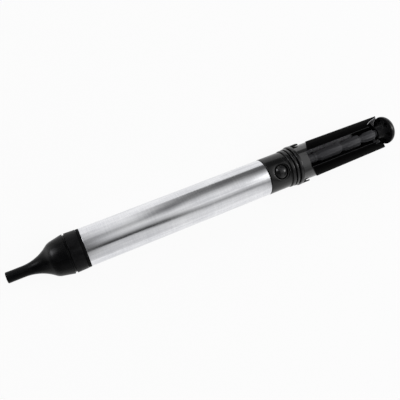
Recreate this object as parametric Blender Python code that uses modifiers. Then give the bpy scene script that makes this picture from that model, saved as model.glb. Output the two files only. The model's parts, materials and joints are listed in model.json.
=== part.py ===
"""Spring-driven desoldering pump, lying on a table with its release button up.

Metres, +X along the pump from the nozzle to the knob, +Z up. Stations are
distances along the pump's axis from the front end of the barrel.
"""
import math

import bmesh
import bpy

# Clearances
SEAT_GAP = 0.0003
RUN_GAP = 0.0004
SEAL_GAP = 0.00015

# Barrel
BARREL_OD = 0.0190
BARREL_WALL = 0.0010
BARREL_LENGTH = 0.09645
BARREL_EDGE = 0.0003

# Nozzle
NOZZLE_BORE = 0.0030
NOZZLE_WALL = 0.00115
TUBE_LENGTH = 0.0075
FLARE_RADIUS = 0.0200
FLARE_ANGLE = math.radians(40)
SHOULDER_RADIUS = 0.0060
SKIRT_ANGLE = math.radians(12)
SKIRT_LENGTH = 0.0056
LIP_LENGTH = 0.0010
TIP_EDGE = 0.00025
FUNNEL_SHARE = 0.72

# Front cap, its gasket and its nose
CAP_OD = 0.0197
CAP_TAPER = 0.00015
CAP_LENGTH = 0.0053
CAP_SPIGOT_LENGTH = 0.0080
CAP_EDGE = 0.00035
NOSE_OD = 0.0130
NOSE_LENGTH = 0.0070
CAP_BORE = 0.0060
GASKET_OD = 0.0191
GASKET_THICKNESS = 0.0012

# Rubber rings
SMALL_SEAL = 0.0010
LARGE_SEAL = 0.0014

# Springs: share of a wire's thickness between the turns of a closed end
CLOSED_PITCH = 1.05

# Main spring and its seat
SEAT_THICKNESS = 0.0008
SPRING_WIRE = 0.0012
SPRING_MEAN_RADIUS = 0.0059
SPRING_TURNS = 13
SPRING_END_TURNS = 1.25

# Piston and cleaning pin
PISTON_LENGTH = 0.0080
PISTON_SOCKET_DEPTH = 0.0058
PILOT_LENGTH = 0.0020
PIN_DIAMETER = 0.0018
PIN_HEAD_DIAMETER = 0.0038
PIN_HEAD_THICKNESS = 0.0010
PIN_REACH = 0.0015
WASHER_THICKNESS = 0.0006
BUMPER_THICKNESS = 0.0010

# Plunger
STROKE = 0.0410
SHANK_DIAMETER = 0.0049
COLLAR_DIAMETER = 0.0053
COLLAR_LENGTH = 0.0013
WAIST_DEPTH = 0.00095
GRIP_FLATS = 0.0059
GRIP_LENGTH = 0.01445
GRIP_TAPER = 0.0029
NOTCH_FRONT = 0.0017
NOTCH_BACK = 0.0042
MIDDLE_FLATS = 0.0060
MIDDLE_LENGTH = 0.0079
MIDDLE_EDGE = 0.0005
END_FLATS = 0.0053
END_TAPER = 0.0042
END_LENGTH = 0.0093
END_NECK = 0.0033
STUD_DIAMETER = 0.0042
STUD_NECK = 0.0015
RELIEF_HEIGHT = 0.0021
TOOTH_HEIGHT = 0.0032
TOOTH_WIDTH = 0.0024
TOOTH_LENGTH = 0.0013
TOOTH_RAMP = 0.0014

# Knob
KNOB_DIAMETER = 0.0155
KNOB_DOME = 0.0046
KNOB_RIM = 0.0004
KNOB_EDGE = 0.0003
KNOB_FLARE = 0.0030
HUB_DIAMETER = 0.0070
HUB_LENGTH = 0.0025
KNOB_SOCKET_DEPTH = 0.0060
POCKET_DIAMETER = 0.0026
POCKET_CIRCLE = 0.0053
POCKET_DEPTH = 0.0010
POCKETS = 6

# Rear housing
HOUSING_OD = 0.0192
HOUSING_LENGTH = 0.01175
HOUSING_SPIGOT = 0.0120
HOUSING_EDGE = 0.0004
GROOVE_DEPTH = 0.0006
GROOVE_WIDTH = 0.0007
GROOVE_EDGE = 0.0002
LAND_OD = 0.0199
LAND_WIDTH = 0.0019
REAR_TUBE_OD = 0.0158
REAR_TUBE_LENGTH = 0.0088

# Release button, latch plate and their spring
BUTTON_OFFSET = 0.0071
BUTTON_DIAMETER = 0.0072
BUTTON_DOME = 0.0019
BUTTON_RISE = 0.0005
BUTTON_SKIRT = 0.0020
BUTTON_WELL_FLOOR = 0.0018
BUTTON_TRAVEL = 0.0016
RECESS_DIAMETER = 0.0089
RECESS_DEPTH = 0.0013
PLATE_THICKNESS = 0.0008
PLATE_WEB = 0.0010
PLATE_CORNER = 0.0014
PLATE_FOOT = 0.0030
FOOT_WIDTH = 0.0034
TONGUE_WIDTH = 0.0036
TONGUE_HEIGHT = 0.0015
BUTTON_SPRING_WIRE = 0.0003
BUTTON_SPRING_RADIUS = 0.0014
BUTTON_SPRING_TURNS = 3.5
BUTTON_SPRING_LENGTH = 0.0029

# Lock ring
RING_LAND_OD = 0.0203
RING_LAND = 0.0013
RING_WAIST = 0.0008
FLANGE_DIAMETER = 0.0214
FLANGE_WIDTH = 0.0018
TAB_LENGTH = 0.0045
TAB_THICKNESS = 0.0006
TAB_ANGLE = math.radians(30)

# Guard
NECK_OD = 0.0188
NECK_LENGTH = 0.00455
NECK_SLANT = math.radians(31)
GUARD_OD = 0.01955
GUARD_END_OD = 0.0181
GUARD_BORE = 0.0167
GUARD_LENGTH = 0.05135
WINDOW_WIDTH = 0.0087
WINDOW_TURN = math.radians(6)
SCOOP_LENGTH = 0.0106
SCOOP_HEIGHT = 0.0065
SCOOP_END_HEIGHT = 0.0022
SCOOP_TURN = math.radians(9)

# Sides of the turned forms; the two rings that touch the table have flats under them
ROUND_SIDES = 36
REST_SIDES = 32
INNER_SIDES = 28
SMALL_SIDES = 20
OCTAGON = 8
RING_SECTION_SIDES = 8
COIL_STEPS = 10
DOME_STEPS = 5
ROUND_STEPS = 3
FLARE_STEPS = 6
TAB_STEPS = 4
WIRE_RESOLUTION = 1
WELD = 0.000001

# Radii and stations that follow from the sizes above
BARREL_R = BARREL_OD / 2
BORE_R = BARREL_R - BARREL_WALL
SPIGOT_R = BORE_R - SEAT_GAP
CAP_BACK = -SEAT_GAP - GASKET_THICKNESS - SEAT_GAP
CAP_FRONT = CAP_BACK - CAP_LENGTH
NOSE_R = NOSE_OD / 2
CAP_END = CAP_BACK + CAP_SPIGOT_LENGTH + GASKET_THICKNESS
NOZZLE_BACK = CAP_FRONT - SEAT_GAP
SHOULDER_RUN = SHOULDER_RADIUS * (math.sin(FLARE_ANGLE) - math.sin(SKIRT_ANGLE))
FLARE_RUN = FLARE_RADIUS * math.sin(FLARE_ANGLE)
FLARE_START = NOZZLE_BACK - LIP_LENGTH - SKIRT_LENGTH - SHOULDER_RUN - FLARE_RUN
TIP = FLARE_START - TUBE_LENGTH

HOUSING_FRONT = BARREL_LENGTH + SEAT_GAP
BUTTON_X = HOUSING_FRONT + BUTTON_OFFSET
SPIGOT_END = HOUSING_FRONT - HOUSING_SPIGOT
LAND_START = HOUSING_FRONT + HOUSING_LENGTH + GROOVE_WIDTH
LAND_END = LAND_START + LAND_WIDTH
REAR_TUBE_END = LAND_END + REAR_TUBE_LENGTH
REAR_TUBE_R = REAR_TUBE_OD / 2
HOUSING_R = HOUSING_OD / 2
LAND_R = LAND_OD / 2

BUMPER_BACK = SPIGOT_END - SEAT_GAP
WASHER_BACK = BUMPER_BACK - BUMPER_THICKNESS - SEAT_GAP
PISTON_BACK = WASHER_BACK - WASHER_THICKNESS - SEAT_GAP
PISTON_FRONT = PISTON_BACK - PISTON_LENGTH
SOCKET_FLOOR = PISTON_BACK - PISTON_SOCKET_DEPTH
PIN_HEAD_FRONT = SOCKET_FLOOR + SEAT_GAP
SHANK_FRONT = PIN_HEAD_FRONT + PIN_HEAD_THICKNESS + SEAT_GAP
PIN_TIP = TIP - PIN_REACH + STROKE
SHANK_R = SHANK_DIAMETER / 2
SEAT_FRONT = CAP_END + SEAT_GAP
SPRING_FRONT = SEAT_FRONT + SEAT_THICKNESS + SEAT_GAP
SPRING_BACK = PISTON_FRONT - SEAT_GAP
SPRING_ID = 2 * SPRING_MEAN_RADIUS - SPRING_WIRE

TOOTH_BACK = BUTTON_X + STROKE - PLATE_THICKNESS / 2 - SEAT_GAP
TOOTH_FRONT = TOOTH_BACK - TOOTH_LENGTH - TOOTH_RAMP
NOTCH_X = BUTTON_X + STROKE
GRIP_END = NOTCH_X - NOTCH_FRONT
GRIP_START = GRIP_END - GRIP_LENGTH
MIDDLE_START = NOTCH_X + NOTCH_BACK
MIDDLE_END = MIDDLE_START + MIDDLE_LENGTH
END_START = MIDDLE_END + SEAT_GAP
STUD_START = END_START + END_LENGTH
HUB_FRONT = STUD_START + STUD_NECK
KNOB_FRONT = HUB_FRONT + HUB_LENGTH
KNOB_TOP = KNOB_FRONT + KNOB_FLARE + KNOB_RIM + KNOB_DOME
KNOB_R = KNOB_DIAMETER / 2
STUD_END = HUB_FRONT + KNOB_SOCKET_DEPTH - SEAT_GAP

TOOTH_TIP_R = math.hypot(TOOTH_HEIGHT, TOOTH_WIDTH / 2)
PASSAGE_R = TOOTH_TIP_R + RUN_GAP
APERTURE_BOTTOM = -RELIEF_HEIGHT - SEAT_GAP
APERTURE_TOP = MIDDLE_FLATS / 2 + SEAT_GAP + BUTTON_TRAVEL
APERTURE_HALF = MIDDLE_FLATS / 2 + RUN_GAP
PLATE_HALF = APERTURE_HALF + PLATE_WEB
PLATE_BOTTOM = APERTURE_BOTTOM - PLATE_WEB - PLATE_THICKNESS
PLATE_TOP = APERTURE_TOP + PLATE_WEB
BUTTON_R = BUTTON_DIAMETER / 2
BUTTON_TOP = HOUSING_R + BUTTON_RISE
BUTTON_BOTTOM = BUTTON_TOP - BUTTON_DOME - BUTTON_SKIRT
BUTTON_SPRING_TOP = PLATE_BOTTOM - SEAT_GAP
BUTTON_SPRING_FLOOR = BUTTON_SPRING_TOP - BUTTON_SPRING_LENGTH - SEAT_GAP
SPRING_OFFSET = PLATE_FOOT / 2 - PLATE_THICKNESS / 2

RING_FRONT = LAND_END + 2 * SEAT_GAP
FLANGE_FRONT = RING_FRONT + RING_LAND + RING_WAIST
FLANGE_BACK = FLANGE_FRONT + FLANGE_WIDTH
FLANGE_R = FLANGE_DIAMETER / 2
NECK_FRONT = FLANGE_BACK + SEAT_GAP
NECK_BACK = NECK_FRONT + NECK_LENGTH
GUARD_END = NECK_BACK + GUARD_LENGTH

# Height of the axis over the table: the flange stands on one of its flats
AXIS_HEIGHT = FLANGE_R * math.cos(math.pi / REST_SIDES)
MIDDLE_X = (TIP + KNOB_TOP) / 2
CUT_MARGIN = 0.0010


def clear_scene():
    """Remove every object so that the script starts from nothing."""
    for item in list(bpy.data.objects):
        bpy.data.objects.remove(item, do_unlink=True)


def make_collection(name):
    """Add one collection under the scene."""
    group = bpy.data.collections.new(name)
    bpy.context.scene.collection.children.link(group)
    return group


clear_scene()
parts = make_collection("desoldering_pump")
cutters = make_collection("cutters")


def finish(name, colour, roughness, metallic=0.0):
    """Make a plain Principled material."""
    material = bpy.data.materials.new(name)
    material.use_nodes = True
    shader = material.node_tree.nodes["Principled BSDF"]
    shader.inputs["Base Color"].default_value = (*colour, 1.0)
    shader.inputs["Roughness"].default_value = roughness
    shader.inputs["Metallic"].default_value = metallic
    return material


gloss_black = finish("gloss_black_plastic", (0.012, 0.012, 0.013), 0.22)
satin_black = finish("satin_black_plastic", (0.014, 0.014, 0.015), 0.38)
matte_black = finish("matte_black_plastic", (0.008, 0.008, 0.008), 0.62)
grey_plastic = finish("dark_grey_plastic", (0.035, 0.035, 0.037), 0.42)
white_plastic = finish("natural_plastic", (0.78, 0.77, 0.73), 0.45)
rubber = finish("black_rubber", (0.016, 0.016, 0.016), 0.75)
tube_metal = finish("brushed_aluminium", (0.72, 0.73, 0.75), 0.32, 1.0)
steel = finish("bright_steel", (0.60, 0.60, 0.62), 0.28, 1.0)


def make_empty(name, location, parent=None):
    """Add an empty that carries a group of pieces."""
    empty = bpy.data.objects.new(name, None)
    empty.location = location
    empty.parent = parent
    empty.empty_display_size = 0.01
    parts.objects.link(empty)
    return empty


pump_axis = make_empty("pump_axis", (-MIDDLE_X, 0.0, AXIS_HEIGHT))
plunger_axis = make_empty("plunger_axis", (SHANK_FRONT, 0.0, 0.0), pump_axis)
button_axis = make_empty("button_axis", (BUTTON_X, 0.0, 0.0), pump_axis)


def place(item, parent, station, group):
    """Hang an object under its carrier, at a station on the pump's axis."""
    item.parent = parent
    offset = 0.0 if parent is pump_axis else parent.location.x
    item.location.x = station - offset
    group.objects.link(item)


def turned(name, outline, sides, material=None, parent=pump_axis, turn=0.0, group=parts):
    """Revolve an outline about the pump's axis.

    The outline is a list of (station, radius). It runs from back to front on
    the outer side and, for a ring, returns from front to back on the inner side.
    """
    origin = outline[0][0]
    mesh = bpy.data.meshes.new(name)
    points = [(radius, 0.0, station - origin) for station, radius in outline]
    edges = [(i, i + 1) for i in range(len(points) - 1)]
    if outline[0][1] > 0.0 or outline[-1][1] > 0.0:
        edges.append((len(points) - 1, 0))
    mesh.from_pydata(points, edges, [])
    if material:
        mesh.materials.append(material)
    item = bpy.data.objects.new(name, mesh)
    item.rotation_euler = (0.0, math.pi / 2, 0.0)
    item.rotation_euler.rotate_axis("Z", turn)
    screw = item.modifiers.new("turn", "SCREW")
    screw.axis = "Z"
    screw.angle = 2 * math.pi
    screw.steps = sides
    screw.render_steps = sides
    screw.use_merge_vertices = True
    screw.merge_threshold = WELD
    screw.use_smooth_shade = sides > OCTAGON
    place(item, parent, origin, group)
    return item


def arc(centre, radius, start, end, count):
    """Points of an arc in (station, radius), angles in radians from the +X axis."""
    points = []
    for i in range(count + 1):
        angle = start + (end - start) * i / count
        points.append((centre[0] + radius * math.cos(angle), centre[1] + radius * math.sin(angle)))
    return points


def half_step(sides):
    """Turn that puts a flat, and not a corner, under the axis."""
    return math.pi / sides


def rubber_ring(name, station, inner, outer, parent=pump_axis):
    """A round-section ring that lies between two radii."""
    section = (outer - inner) / 2
    middle = (outer + inner) / 2
    outline = arc((station, middle), section, 0.0, 2 * math.pi, RING_SECTION_SIDES)[:-1]
    return turned(name, outline, INNER_SIDES, rubber, parent)


def seal_groove(station, section, floor, land):
    """Back-to-front outline points of a square groove round a spigot."""
    half = section / 2 + SEAL_GAP
    front = station - half
    back = station + half
    return [(back, land), (back, floor), (front, floor), (front, land)]


def extruded(name, outline, thickness, material=None, group=parts):
    """A flat outline, as a filled curve extruded both ways, turned into a mesh."""
    curve = bpy.data.curves.new(name, "CURVE")
    curve.dimensions = "2D"
    curve.fill_mode = "BOTH"
    curve.extrude = thickness / 2
    for ring in outline:
        spline = curve.splines.new("POLY")
        spline.points.add(len(ring) - 1)
        for point, (x, y) in zip(spline.points, ring):
            point.co = (x, y, 0.0, 1.0)
        spline.use_cyclic_u = True
    source = bpy.data.objects.new(name + "_outline", curve)
    bpy.context.scene.collection.objects.link(source)
    item = as_mesh(source, name, material)
    group.objects.link(item)
    return item


def as_mesh(source, name, material=None):
    """Make a curve object into a welded mesh object and remove the curve."""
    graph = bpy.context.evaluated_depsgraph_get()
    mesh = bpy.data.meshes.new_from_object(source.evaluated_get(graph))
    mesh.name = name
    work = bmesh.new()
    work.from_mesh(mesh)
    bmesh.ops.remove_doubles(work, verts=work.verts, dist=WELD)
    bmesh.ops.recalc_face_normals(work, faces=work.faces)
    work.to_mesh(mesh)
    work.free()
    mesh.materials.clear()
    if material:
        mesh.materials.append(material)
    item = bpy.data.objects.new(name, mesh)
    item.matrix_world = source.matrix_world
    bpy.data.objects.remove(source, do_unlink=True)
    return item


def as_cutter(item):
    """Show a cutting body as wire only."""
    item.hide_render = True
    item.display_type = "WIRE"
    return item


def boolean(item, other, operation="DIFFERENCE"):
    """Cut a body from a piece, or join one to it."""
    modifier = item.modifiers.new(operation.lower(), "BOOLEAN")
    modifier.operation = operation
    modifier.solver = "EXACT"
    modifier.object = as_cutter(other)


def upright_disc(name, station, radius, low, high, parent):
    """A cutting cylinder that stands across the axis, between two heights."""
    mesh = bpy.data.meshes.new(name)
    work = bmesh.new()
    bmesh.ops.create_cone(work, cap_ends=True, segments=ROUND_SIDES, radius1=radius, radius2=radius,
                          depth=high - low)
    work.to_mesh(mesh)
    work.free()
    item = bpy.data.objects.new(name, mesh)
    item.location.z = (low + high) / 2
    place(item, parent, station, cutters)
    return item


def block(name, low, high, parent, group=cutters):
    """A rectangular body between two corners given in station, side and height."""
    mesh = bpy.data.meshes.new(name)
    work = bmesh.new()
    bmesh.ops.create_cube(work, size=1.0)
    size = [b - a for a, b in zip(low, high)]
    bmesh.ops.scale(work, vec=size, verts=work.verts)
    work.to_mesh(mesh)
    work.free()
    item = bpy.data.objects.new(name, mesh)
    item.location.y = (low[1] + high[1]) / 2
    item.location.z = (low[2] + high[2]) / 2
    place(item, parent, (low[0] + high[0]) / 2, group)
    return item


def coil(name, radius, wire, length, turns, end_turns, steps):
    """A compression spring along +Z from z = 0, its end turns closed up."""
    curve = bpy.data.curves.new(name, "CURVE")
    curve.dimensions = "3D"
    curve.bevel_depth = wire / 2
    curve.bevel_resolution = WIRE_RESOLUTION
    curve.use_fill_caps = True
    count = round(turns * steps)
    closed = wire * CLOSED_PITCH
    rise = length - wire
    open_pitch = (rise - 2 * end_turns * closed) / (turns - 2 * end_turns)
    spline = curve.splines.new("POLY")
    spline.points.add(count)
    for i, point in enumerate(spline.points):
        done = turns * i / count
        front = min(done, end_turns)
        back = max(done - (turns - end_turns), 0.0)
        height = wire / 2 + (front + back) * closed + (done - front - back) * open_pitch
        angle = 2 * math.pi * done
        point.co = (radius * math.cos(angle), radius * math.sin(angle), height, 1.0)
    source = bpy.data.objects.new(name + "_path", curve)
    bpy.context.scene.collection.objects.link(source)
    item = as_mesh(source, name, steel)
    item.data.shade_smooth()
    return item


def make_nozzle():
    """Moulded nozzle: a straight tube that flares into a skirt over the cap's nose."""
    tube_r = NOZZLE_BORE / 2 + NOZZLE_WALL
    flare_centre = (FLARE_START, tube_r + FLARE_RADIUS)
    flare_end_r = tube_r + FLARE_RADIUS * (1 - math.cos(FLARE_ANGLE))
    shoulder_centre = (
        FLARE_START + FLARE_RUN + SHOULDER_RADIUS * math.sin(FLARE_ANGLE),
        flare_end_r - SHOULDER_RADIUS * math.cos(FLARE_ANGLE),
    )
    shoulder_r = shoulder_centre[1] + SHOULDER_RADIUS * math.cos(SKIRT_ANGLE)
    lip_r = shoulder_r + SKIRT_LENGTH * math.tan(SKIRT_ANGLE)
    counterbore = NOSE_R + SEAT_GAP
    counterbore_end = CAP_FRONT - NOSE_LENGTH - SEAT_GAP
    down = -math.pi / 2
    up = math.pi / 2
    outline = [(NOZZLE_BACK, lip_r - TIP_EDGE), (NOZZLE_BACK - TIP_EDGE, lip_r)]
    outline += [(NOZZLE_BACK - LIP_LENGTH, lip_r)]
    outline += arc(shoulder_centre, SHOULDER_RADIUS, up + SKIRT_ANGLE, up + FLARE_ANGLE, ROUND_STEPS)
    outline += arc(flare_centre, FLARE_RADIUS, down + FLARE_ANGLE, down, FLARE_STEPS)[1:]
    outline += [(TIP + TIP_EDGE, tube_r), (TIP, tube_r - TIP_EDGE), (TIP, NOZZLE_BORE / 2)]
    inner_rise = FUNNEL_SHARE * (counterbore - NOZZLE_WALL)
    inner_angle = math.acos(1 - inner_rise / (FLARE_RADIUS + NOZZLE_WALL))
    outline += arc(flare_centre, FLARE_RADIUS + NOZZLE_WALL, down, down + inner_angle, ROUND_STEPS)
    outline += [(counterbore_end, outline[-1][1]), (counterbore_end, counterbore)]
    outline += [(NOZZLE_BACK, counterbore)]
    return turned("nozzle", outline, ROUND_SIDES, satin_black)


def make_front_cap():
    """Turned cap: a nose for the nozzle, a collar and a spigot in the barrel."""
    collar_r = CAP_OD / 2
    seal_x = CAP_FRONT - NOSE_LENGTH / 2
    outline = [(CAP_END, SPIGOT_R - CAP_EDGE), (CAP_END - CAP_EDGE, SPIGOT_R), (CAP_BACK, SPIGOT_R)]
    outline += [(CAP_BACK, collar_r - CAP_TAPER), (CAP_FRONT + CAP_EDGE, collar_r)]
    outline += [(CAP_FRONT, collar_r - CAP_EDGE), (CAP_FRONT, NOSE_R)]
    outline += seal_groove(seal_x, SMALL_SEAL, NOSE_R - SMALL_SEAL + SEAT_GAP - 2 * SEAL_GAP, NOSE_R)
    nose_end = CAP_FRONT - NOSE_LENGTH
    outline += [(nose_end + CAP_EDGE, NOSE_R), (nose_end, NOSE_R - CAP_EDGE), (nose_end, CAP_BORE / 2)]
    outline += [(CAP_END, CAP_BORE / 2)]
    turned("front_cap", outline, REST_SIDES, satin_black, turn=half_step(REST_SIDES))
    seal_outer = NOSE_R + SEAT_GAP - SEAL_GAP
    rubber_ring("nozzle_seal", seal_x, seal_outer - SMALL_SEAL, seal_outer)


def ring(name, back, front, outer, inner, edge, material, sides=INNER_SIDES, parent=pump_axis):
    """A flat ring with its outer corners broken."""
    outline = [(back, outer - edge), (back - edge, outer), (front + edge, outer), (front, outer - edge)]
    outline += [(front, inner), (back, inner)]
    return turned(name, outline, sides, material, parent)


def make_barrel_group():
    """The barrel tube with the gasket at its front end and the spring's seat."""
    outline = [(BARREL_LENGTH, BARREL_R - BARREL_EDGE), (BARREL_LENGTH - BARREL_EDGE, BARREL_R)]
    outline += [(BARREL_EDGE, BARREL_R), (0.0, BARREL_R - BARREL_EDGE)]
    outline += [(0.0, BORE_R), (BARREL_LENGTH, BORE_R)]
    turned("barrel", outline, ROUND_SIDES, tube_metal)
    ring("front_gasket", -SEAT_GAP, -SEAT_GAP - GASKET_THICKNESS, GASKET_OD / 2, SPIGOT_R + SEAT_GAP,
         SEAL_GAP, rubber)
    seat_outer = SPRING_MEAN_RADIUS + SPRING_WIRE
    seat_inner = SPRING_ID / 2 - SPRING_WIRE
    ring("spring_seat", SEAT_FRONT + SEAT_THICKNESS, SEAT_FRONT, seat_outer, seat_inner, SEAL_GAP, steel)
    spring = coil("main_spring", SPRING_MEAN_RADIUS, SPRING_WIRE, SPRING_BACK - SPRING_FRONT, SPRING_TURNS,
                  SPRING_END_TURNS, COIL_STEPS)
    spring.rotation_euler = (0.0, math.pi / 2, 0.0)
    place(spring, pump_axis, SPRING_FRONT, parts)


def make_piston_group():
    """Piston, its sealing ring, the backing washer and the cleaning pin."""
    floor = SPIGOT_R - LARGE_SEAL
    pilot_r = SPRING_ID / 2 - RUN_GAP
    pilot_front = PISTON_FRONT - PILOT_LENGTH
    pin_hole = PIN_DIAMETER / 2 + SEAT_GAP
    socket_r = SHANK_R + SEAT_GAP
    seal_x = (PISTON_FRONT + PISTON_BACK) / 2
    outline = [(PISTON_BACK, SPIGOT_R - CAP_EDGE), (PISTON_BACK - CAP_EDGE, SPIGOT_R)]
    outline += seal_groove(seal_x, LARGE_SEAL, floor, SPIGOT_R)
    outline += [(PISTON_FRONT + CAP_EDGE, SPIGOT_R), (PISTON_FRONT, SPIGOT_R - CAP_EDGE)]
    outline += [(PISTON_FRONT, pilot_r), (pilot_front + CAP_EDGE, pilot_r)]
    outline += [(pilot_front, pilot_r - CAP_EDGE), (pilot_front, pin_hole)]
    outline += [(SOCKET_FLOOR, pin_hole), (SOCKET_FLOOR, socket_r), (PISTON_BACK, socket_r)]
    turned("piston", outline, INNER_SIDES, white_plastic, plunger_axis)
    seal_outer = BORE_R - SEAL_GAP
    rubber_ring("piston_o_ring", seal_x, floor + SEAL_GAP, seal_outer, plunger_axis)
    ring("piston_washer", WASHER_BACK, PISTON_BACK + SEAT_GAP, floor, socket_r, SEAL_GAP, steel,
         parent=plunger_axis)
    pin_r = PIN_DIAMETER / 2
    head_r = PIN_HEAD_DIAMETER / 2
    head_back = PIN_HEAD_FRONT + PIN_HEAD_THICKNESS
    outline = [(head_back, 0.0), (head_back, head_r), (PIN_HEAD_FRONT, head_r), (PIN_HEAD_FRONT, pin_r)]
    outline += [(PIN_TIP + pin_r / 2, pin_r), (PIN_TIP, pin_r / 2), (PIN_TIP, 0.0)]
    turned("cleaning_pin", outline, SMALL_SIDES, steel, plunger_axis)


def flats(width):
    """Corner radius of an octagon from its width across flats."""
    return width / 2 / math.cos(math.pi / OCTAGON)


def make_plunger_rod():
    """Moulded rod: round shank, three octagonal grips and a catch tooth under it."""
    collar_r = COLLAR_DIAMETER / 2
    stud_r = STUD_DIAMETER / 2
    core = flats(GRIP_FLATS) - WAIST_DEPTH
    outline = [(STUD_END, 0.0), (STUD_END, stud_r), (STUD_START, stud_r)]
    outline += [(STUD_START, flats(END_FLATS)), (END_START + END_TAPER, flats(END_FLATS))]
    outline += [(END_START, flats(END_NECK)), (MIDDLE_END, flats(END_NECK))]
    outline += [(MIDDLE_END, flats(MIDDLE_FLATS) - MIDDLE_EDGE)]
    outline += [(MIDDLE_END - 2 * MIDDLE_EDGE, flats(MIDDLE_FLATS)), (MIDDLE_START, flats(MIDDLE_FLATS))]
    outline += [(NOTCH_X, core), (GRIP_END, flats(GRIP_FLATS))]
    outline += [(GRIP_START + GRIP_TAPER, flats(GRIP_FLATS)), (GRIP_START, SHANK_R - SEAT_GAP)]
    buried = GRIP_START - COLLAR_LENGTH / 2
    outline += [(buried, SHANK_R - SEAT_GAP), (buried, 0.0)]
    rod = turned("plunger_rod", outline, OCTAGON, grey_plastic, plunger_axis, turn=half_step(OCTAGON))
    collar_front = GRIP_START - COLLAR_LENGTH
    shank_outline = [(GRIP_START, 0.0), (GRIP_START, collar_r - SEAL_GAP)]
    shank_outline += [(GRIP_START - SEAL_GAP, collar_r), (collar_front, collar_r)]
    shank_outline += [(collar_front, SHANK_R), (SHANK_FRONT, SHANK_R), (SHANK_FRONT, 0.0)]
    shank = turned("rod_shank", shank_outline, SMALL_SIDES, grey_plastic, plunger_axis, group=cutters)
    boolean(rod, shank, "UNION")
    relief = block(
        "rod_relief",
        (PISTON_BACK + SEAT_GAP, -PASSAGE_R, -PASSAGE_R),
        (TOOTH_BACK - TOOTH_LENGTH, PASSAGE_R, -RELIEF_HEIGHT),
        plunger_axis,
    )
    boolean(rod, relief)
    tooth_outline = [
        (TOOTH_BACK, -TOOTH_HEIGHT),
        (TOOTH_BACK, 0.0),
        (TOOTH_FRONT, 0.0),
        (TOOTH_FRONT, -RELIEF_HEIGHT),
        (TOOTH_FRONT + TOOTH_RAMP, -TOOTH_HEIGHT),
    ]
    tooth = extruded("rod_tooth", [tooth_outline], TOOTH_WIDTH, group=cutters)
    tooth.rotation_euler = (math.pi / 2, 0.0, 0.0)
    tooth.parent = plunger_axis
    tooth.location.x = -plunger_axis.location.x
    boolean(rod, tooth, "UNION")


def make_knob():
    """Domed push knob: a hub that flares into the head, with round core holes in the flare."""
    head_start = KNOB_FRONT + KNOB_FLARE
    dome_start = head_start + KNOB_RIM
    hub_r = HUB_DIAMETER / 2
    socket_r = STUD_DIAMETER / 2 + SEAT_GAP
    outline = []
    for i in range(DOME_STEPS + 1):
        angle = math.pi / 2 * (1 - i / DOME_STEPS)
        outline.append((dome_start + KNOB_DOME * math.sin(angle), KNOB_R * math.cos(angle)))
    outline[0] = (KNOB_TOP, 0.0)
    outline += [(head_start + KNOB_EDGE, KNOB_R)]
    rise = KNOB_R - KNOB_EDGE - hub_r
    for i in range(FLARE_STEPS):
        angle = math.pi / 2 * (1 - i / FLARE_STEPS)
        outline.append((KNOB_FRONT + KNOB_FLARE * math.sin(angle), hub_r + rise * (1 - math.cos(angle))))
    outline += [(KNOB_FRONT, hub_r), (HUB_FRONT + SEAL_GAP, hub_r), (HUB_FRONT, hub_r - SEAL_GAP)]
    outline += [(HUB_FRONT, socket_r), (HUB_FRONT + KNOB_SOCKET_DEPTH, socket_r)]
    outline += [(HUB_FRONT + KNOB_SOCKET_DEPTH, 0.0)]
    knob = turned("knob", outline, ROUND_SIDES, gloss_black, plunger_axis)
    floor = head_start + POCKET_DEPTH
    for i in range(POCKETS):
        angle = 2 * math.pi * (i + 0.5) / POCKETS
        pocket = turned(
            f"knob_pocket_{i + 1}",
            [
                (floor, 0.0),
                (floor, POCKET_DIAMETER / 2),
                (KNOB_FRONT - CUT_MARGIN, POCKET_DIAMETER / 2),
                (KNOB_FRONT - CUT_MARGIN, 0.0),
            ],
            RING_SECTION_SIDES,
            parent=plunger_axis,
            group=cutters,
        )
        pocket.location.y = POCKET_CIRCLE * math.sin(angle)
        pocket.location.z = POCKET_CIRCLE * math.cos(angle)
        boolean(knob, pocket)


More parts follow.
